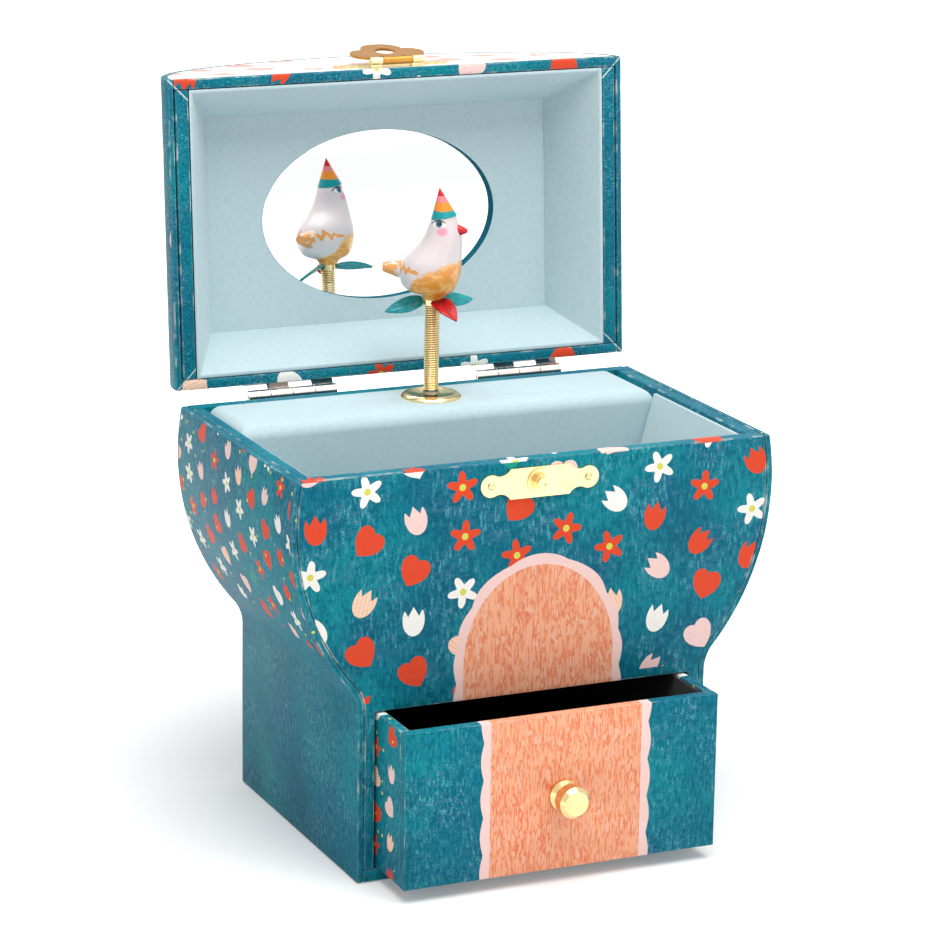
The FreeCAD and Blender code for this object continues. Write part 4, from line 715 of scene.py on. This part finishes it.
def beakPaint():
    material, place = newFinish("beakPaint")
    brush = place.noise(420)
    mixed = place.twoTone(beak["red"], beak["shade"], brush.ramp(0.4, 0.7) * 0.6)
    return setFinish(material, {"Base Color": mixed, "Roughness": brush * 0.1 + 0.28, "Coat Weight": 0.15,
                                "Coat Roughness": 0.15, "Specular IOR Level": 0.3})


def fullBeak():
    # a blunt cone with a rounded tip, set in the bird's socket
    bpy.ops.object.select_all(action="DESELECT")
    bpy.ops.mesh.primitive_cone_add(vertices=24, radius1=beak["radius"], radius2=beak["tip"],
                                    depth=beak["long"], location=(0, 0, beak["long"] / 2 - beak["sunk"]))
    piece = bpy.context.object
    piece.name = "fullBeak"
    bpy.ops.object.transform_apply(location=True)
    startEdit(piece)
    bpy.ops.mesh.select_all(action="DESELECT")
    bpy.ops.mesh.edges_select_sharp(sharpness=math.radians(30))
    bpy.ops.mesh.bevel(offset=beak["rounding"], segments=3, clamp_overlap=True)
    stopEdit()
    turn = Matrix.Rotation(bird["turn"], 4, "Z") @ Matrix.Translation((beak["shift"], 0, 0))
    place = Matrix.Translation((bird["axis"][0], bird["axis"][1], bird["base"] + beak["rise"])) @ turn
    piece.data.transform(place @ Matrix.Rotation(math.pi / 2, 4, "Y"))
    bpy.ops.object.shade_smooth_by_angle(angle=math.radians(50))
    dress(piece, beakPaint(), "figure")
    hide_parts("bird_beak")


hat = {"red": rgb(206, 22, 38), "pink": rgb(236, 132, 134), "orange": rgb(240, 144, 40),
       "teal": rgb(0, 150, 156), "tip": 0.1992, "long": 0.0102}


def hatPaint():
    # four bands from the tip down, with hand-painted edges
    material, place = newFinish("hatPaint")
    _, _, z = place.parts()
    wobble = place.noise(300)
    drop = (hat["tip"] - z + (wobble - 0.5) * 0.0012) / hat["long"]
    stops = [(0, hat["red"]), (0.27, hat["pink"]), (0.46, hat["orange"]), (0.72, hat["teal"])]
    colour = place.node("ShaderNodeValToRGB", {"stops": stops, "blending": "CONSTANT"}, {"Fac": drop},
                        "Color")
    return setFinish(material, {"Base Color": colour, "Roughness": wobble * 0.1 + 0.3, "Coat Weight": 0.15,
                                "Coat Roughness": 0.15, "Specular IOR Level": 0.3})


leaf = {
    "teal": rgb(24, 156, 162), "deep": rgb(4, 126, 138), "red": rgb(204, 16, 28), "wine": rgb(150, 4, 18),
    "stitch": rgb(36, 8, 12), "wide": 0.0078, "thick": 0.0007, "crease": 0.0005, "curl": 0.0012,
    "root": 0.00292, "rows": 12,
    # heading, fall and roll in degrees, length, height of the root, and the share of the root cut away
    "places": {"leftLeaf": (190, 14, -30, 0.013, 0.1621, 0.1), "rightLeaf": (42, 0, 25, 0.013, 0.1619, 0.1),
               "redLeaf": (-39, 24, 8, 0.0106, 0.1627, 0.26)},
}


def leafPaint(name, colour, shade, stitched=False):
    # the stitches are short strokes round the root, in mm from the bird's axis
    material, place = newFinish(name)
    brush = place.noise(520)
    mixed = place.twoTone(colour, shade, brush.ramp(0.42, 0.7) * 0.8)
    if stitched:
        x, y, _ = place.parts()
        y = y - bird["axis"][1]
        root = ((x * x + y * y) ** 0.5) * 1000
        comb = (y.math("ARCTAN2", x) * 4) % 1
        mixed = mixed.mix(leaf["stitch"], (root < 5.4 - comb * 2) * (comb < 0.4) * (root > 2.9))
    return setFinish(material, {"Base Color": mixed, "Roughness": brush * 0.12 + 0.26, "Coat Weight": 0.2,
                                "Coat Roughness": 0.12, "Specular IOR Level": 0.3})


def pick(obj, wanted):
    # selects the points that wanted() accepts, and leaves the piece in edit mode
    if bpy.context.mode != "OBJECT":
        stopEdit()
    startEdit(obj)
    bpy.ops.mesh.select_mode(type="VERT")
    bpy.ops.mesh.select_all(action="DESELECT")
    stopEdit()
    for point in obj.data.vertices:
        point.select = wanted(point.co)
    bpy.ops.object.mode_set(mode="EDIT")


def curledLeaf(name, heading, fall, roll, length, height, cut):
    # a sheet drawn to a point at its tip and narrowed at its root, creased along its middle and curled down
    rows = leaf["rows"]
    bpy.ops.object.select_all(action="DESELECT")
    bpy.ops.mesh.primitive_grid_add(x_subdivisions=rows, y_subdivisions=4, size=1)
    blade = bpy.context.object
    blade.name = name
    pick(blade, lambda point: True)
    bpy.ops.transform.resize(value=(length, leaf["wide"], 1))
    bpy.ops.transform.translate(value=(length / 2, 0, 0))
    for row in range(rows + 1):
        share = row / rows
        grown = cut + (1 - cut) * share
        fullness = math.sin(math.pi * grown ** 0.85) ** 0.85 if row < rows else 0.02
        pick(blade, lambda point: abs(point.x - length * share) < length / rows / 3)
        bpy.ops.transform.resize(value=(1, fullness, 1), center_override=(length * share, 0, 0))
        bpy.ops.transform.translate(value=(0, 0, -leaf["curl"] * share ** 2))
    pick(blade, lambda point: abs(point.y) < 1e-6 and length * 0.1 < point.x < length * 0.95)
    bpy.ops.transform.translate(value=(0, 0, -leaf["crease"]))
    stopEdit()
    for kind, settings in (("SOLIDIFY", {"thickness": leaf["thick"], "offset": 0}),
                           ("SUBSURF", {"levels": 2, "render_levels": 2})):
        step = blade.modifiers.new(kind.lower(), kind)
        for setting, value in settings.items():
            setattr(step, setting, value)
        bpy.ops.object.modifier_apply(modifier=step.name)
    turn = Matrix.Rotation(bird["turn"] + math.radians(heading), 4, "Z")
    turn = turn @ Matrix.Translation((leaf["root"], 0, 0))
    turn = turn @ Matrix.Rotation(math.radians(fall), 4, "Y") @ Matrix.Rotation(math.radians(roll), 4, "X")
    blade.data.transform(Matrix.Translation((bird["axis"][0], bird["axis"][1], height)) @ turn)
    bpy.ops.object.shade_smooth()
    return blade


def leaves():
    teal = leafPaint("tealLeafPaint", leaf["teal"], leaf["deep"])
    red = leafPaint("redLeafPaint", leaf["red"], leaf["wine"], stitched=True)
    for name, place in leaf["places"].items():
        blade = curledLeaf(name, *place)
        dress(blade, red if name == "redLeaf" else teal, "figure")
        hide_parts("leaf_ruff")


paint("bird_body", birdPaint())
fullBeak()
paint("party_hat", hatPaint())
leaves()
print("figure painted")


# floor, light and camera

stage = {
    "size": 6, "below": 0.0002, "floor": rgb(236, 236, 236), "floorLight": rgb(240, 240, 240),
    "world": 0.46,
    "glow": 0.2, "near": 0.09, "far": 0.3,  # the floor's glow grows from glow to 1 between near and far
    "target": (0, 0, 0.1),
    "lamps": {"keyLight": {"place": (0, -0.35, 1.5), "size": 1.4, "power": 26},
              "fillLight": {"place": (0.5, -1.4, 0.6), "size": 1, "power": 2.4}},
}


def whiteRays(tree):
    # 1 for what the camera sees straight, in a reflection or through glass
    path = tree.nodes.new("ShaderNodeLightPath")
    seen, shine, through = [Wire(tree, path.outputs[name])
                            for name in ("Is Camera Ray", "Is Glossy Ray", "Is Transmission Ray")]
    return seen.math("MAXIMUM", shine).math("MAXIMUM", through)


def paleFloor():
    bpy.ops.object.select_all(action="DESELECT")
    bpy.ops.mesh.primitive_plane_add(size=stage["size"], location=(0, 0, -stage["below"]))
    floor = bpy.context.object
    floor.name = "paleFloor"
    material, place = newFinish("paleFloor")
    grain = place.noise(30)
    x, y, _ = place.parts()
    away = ((x * x + y * y) ** 0.5).ramp(stage["near"], stage["far"])
    glow = whiteRays(material.node_tree) * (away * (1 - stage["glow"]) + stage["glow"])
    glow = place.node("ShaderNodeCombineXYZ", {}, {"X": glow, "Y": glow, "Z": glow})
    setFinish(material, {"Base Color": place.twoTone(stage["floor"], stage["floorLight"], grain),
                         "Roughness": 0.9, "Specular IOR Level": 0.1, "Emission Color": glow,
                         "Emission Strength": 1})
    floor.data.materials.append(material)


def areaLight(name, place, size, power):
    lamp = bpy.data.lights.new(name, "AREA")
    lamp.size = size
    lamp.energy = power
    holder = bpy.data.objects.new(name, lamp)
    holder.location = place
    holder.rotation_euler = (Vector(stage["target"]) - Vector(place)).to_track_quat("-Z", "Y").to_euler()
    bpy.context.scene.collection.objects.link(holder)


def whiteWorld():
    world = bpy.data.worlds.new("studio")
    bpy.context.scene.world = world
    world.use_nodes = True
    tree = world.node_tree
    tree.nodes.clear()
    strength = whiteRays(tree) * (1 - stage["world"]) + stage["world"]
    back = tree.nodes.new("ShaderNodeBackground")
    back.inputs["Color"].default_value = (1, 1, 1, 1)
    tree.links.new(strength.socket, back.inputs["Strength"])
    result = tree.nodes.new("ShaderNodeOutputWorld")
    tree.links.new(back.outputs[0], result.inputs["Surface"])


paleFloor()
whiteWorld()
for name, lamp in stage["lamps"].items():
    areaLight(name, **lamp)

view = {"place": (-0.46446, -1.02365, 0.41451), "yaw": math.radians(24.401), "pitch": math.radians(15.008),
        "roll": math.radians(0.874), "lens": 139.6, "sensor": 36}


def photoCamera():
    data = bpy.data.cameras.new("photoCamera")
    data.sensor_width = view["sensor"]
    data.lens = view["lens"]
    camera = bpy.data.objects.new("photoCamera", data)
    level = math.cos(view["pitch"])
    ahead = Vector((math.sin(view["yaw"]) * level, math.cos(view["yaw"]) * level, -math.sin(view["pitch"])))
    right = Vector((math.cos(view["yaw"]), -math.sin(view["yaw"]), 0))
    up = right.cross(ahead)
    side = right * math.cos(view["roll"]) + up * math.sin(view["roll"])
    top = up * math.cos(view["roll"]) - right * math.sin(view["roll"])
    turn = Matrix((side, top, -ahead)).transposed().to_4x4()
    camera.matrix_world = Matrix.Translation(view["place"]) @ turn
    bpy.context.scene.collection.objects.link(camera)
    bpy.context.scene.camera = camera


photoCamera()
bpy.context.scene.view_settings.view_transform = "Standard"
print("stage set")
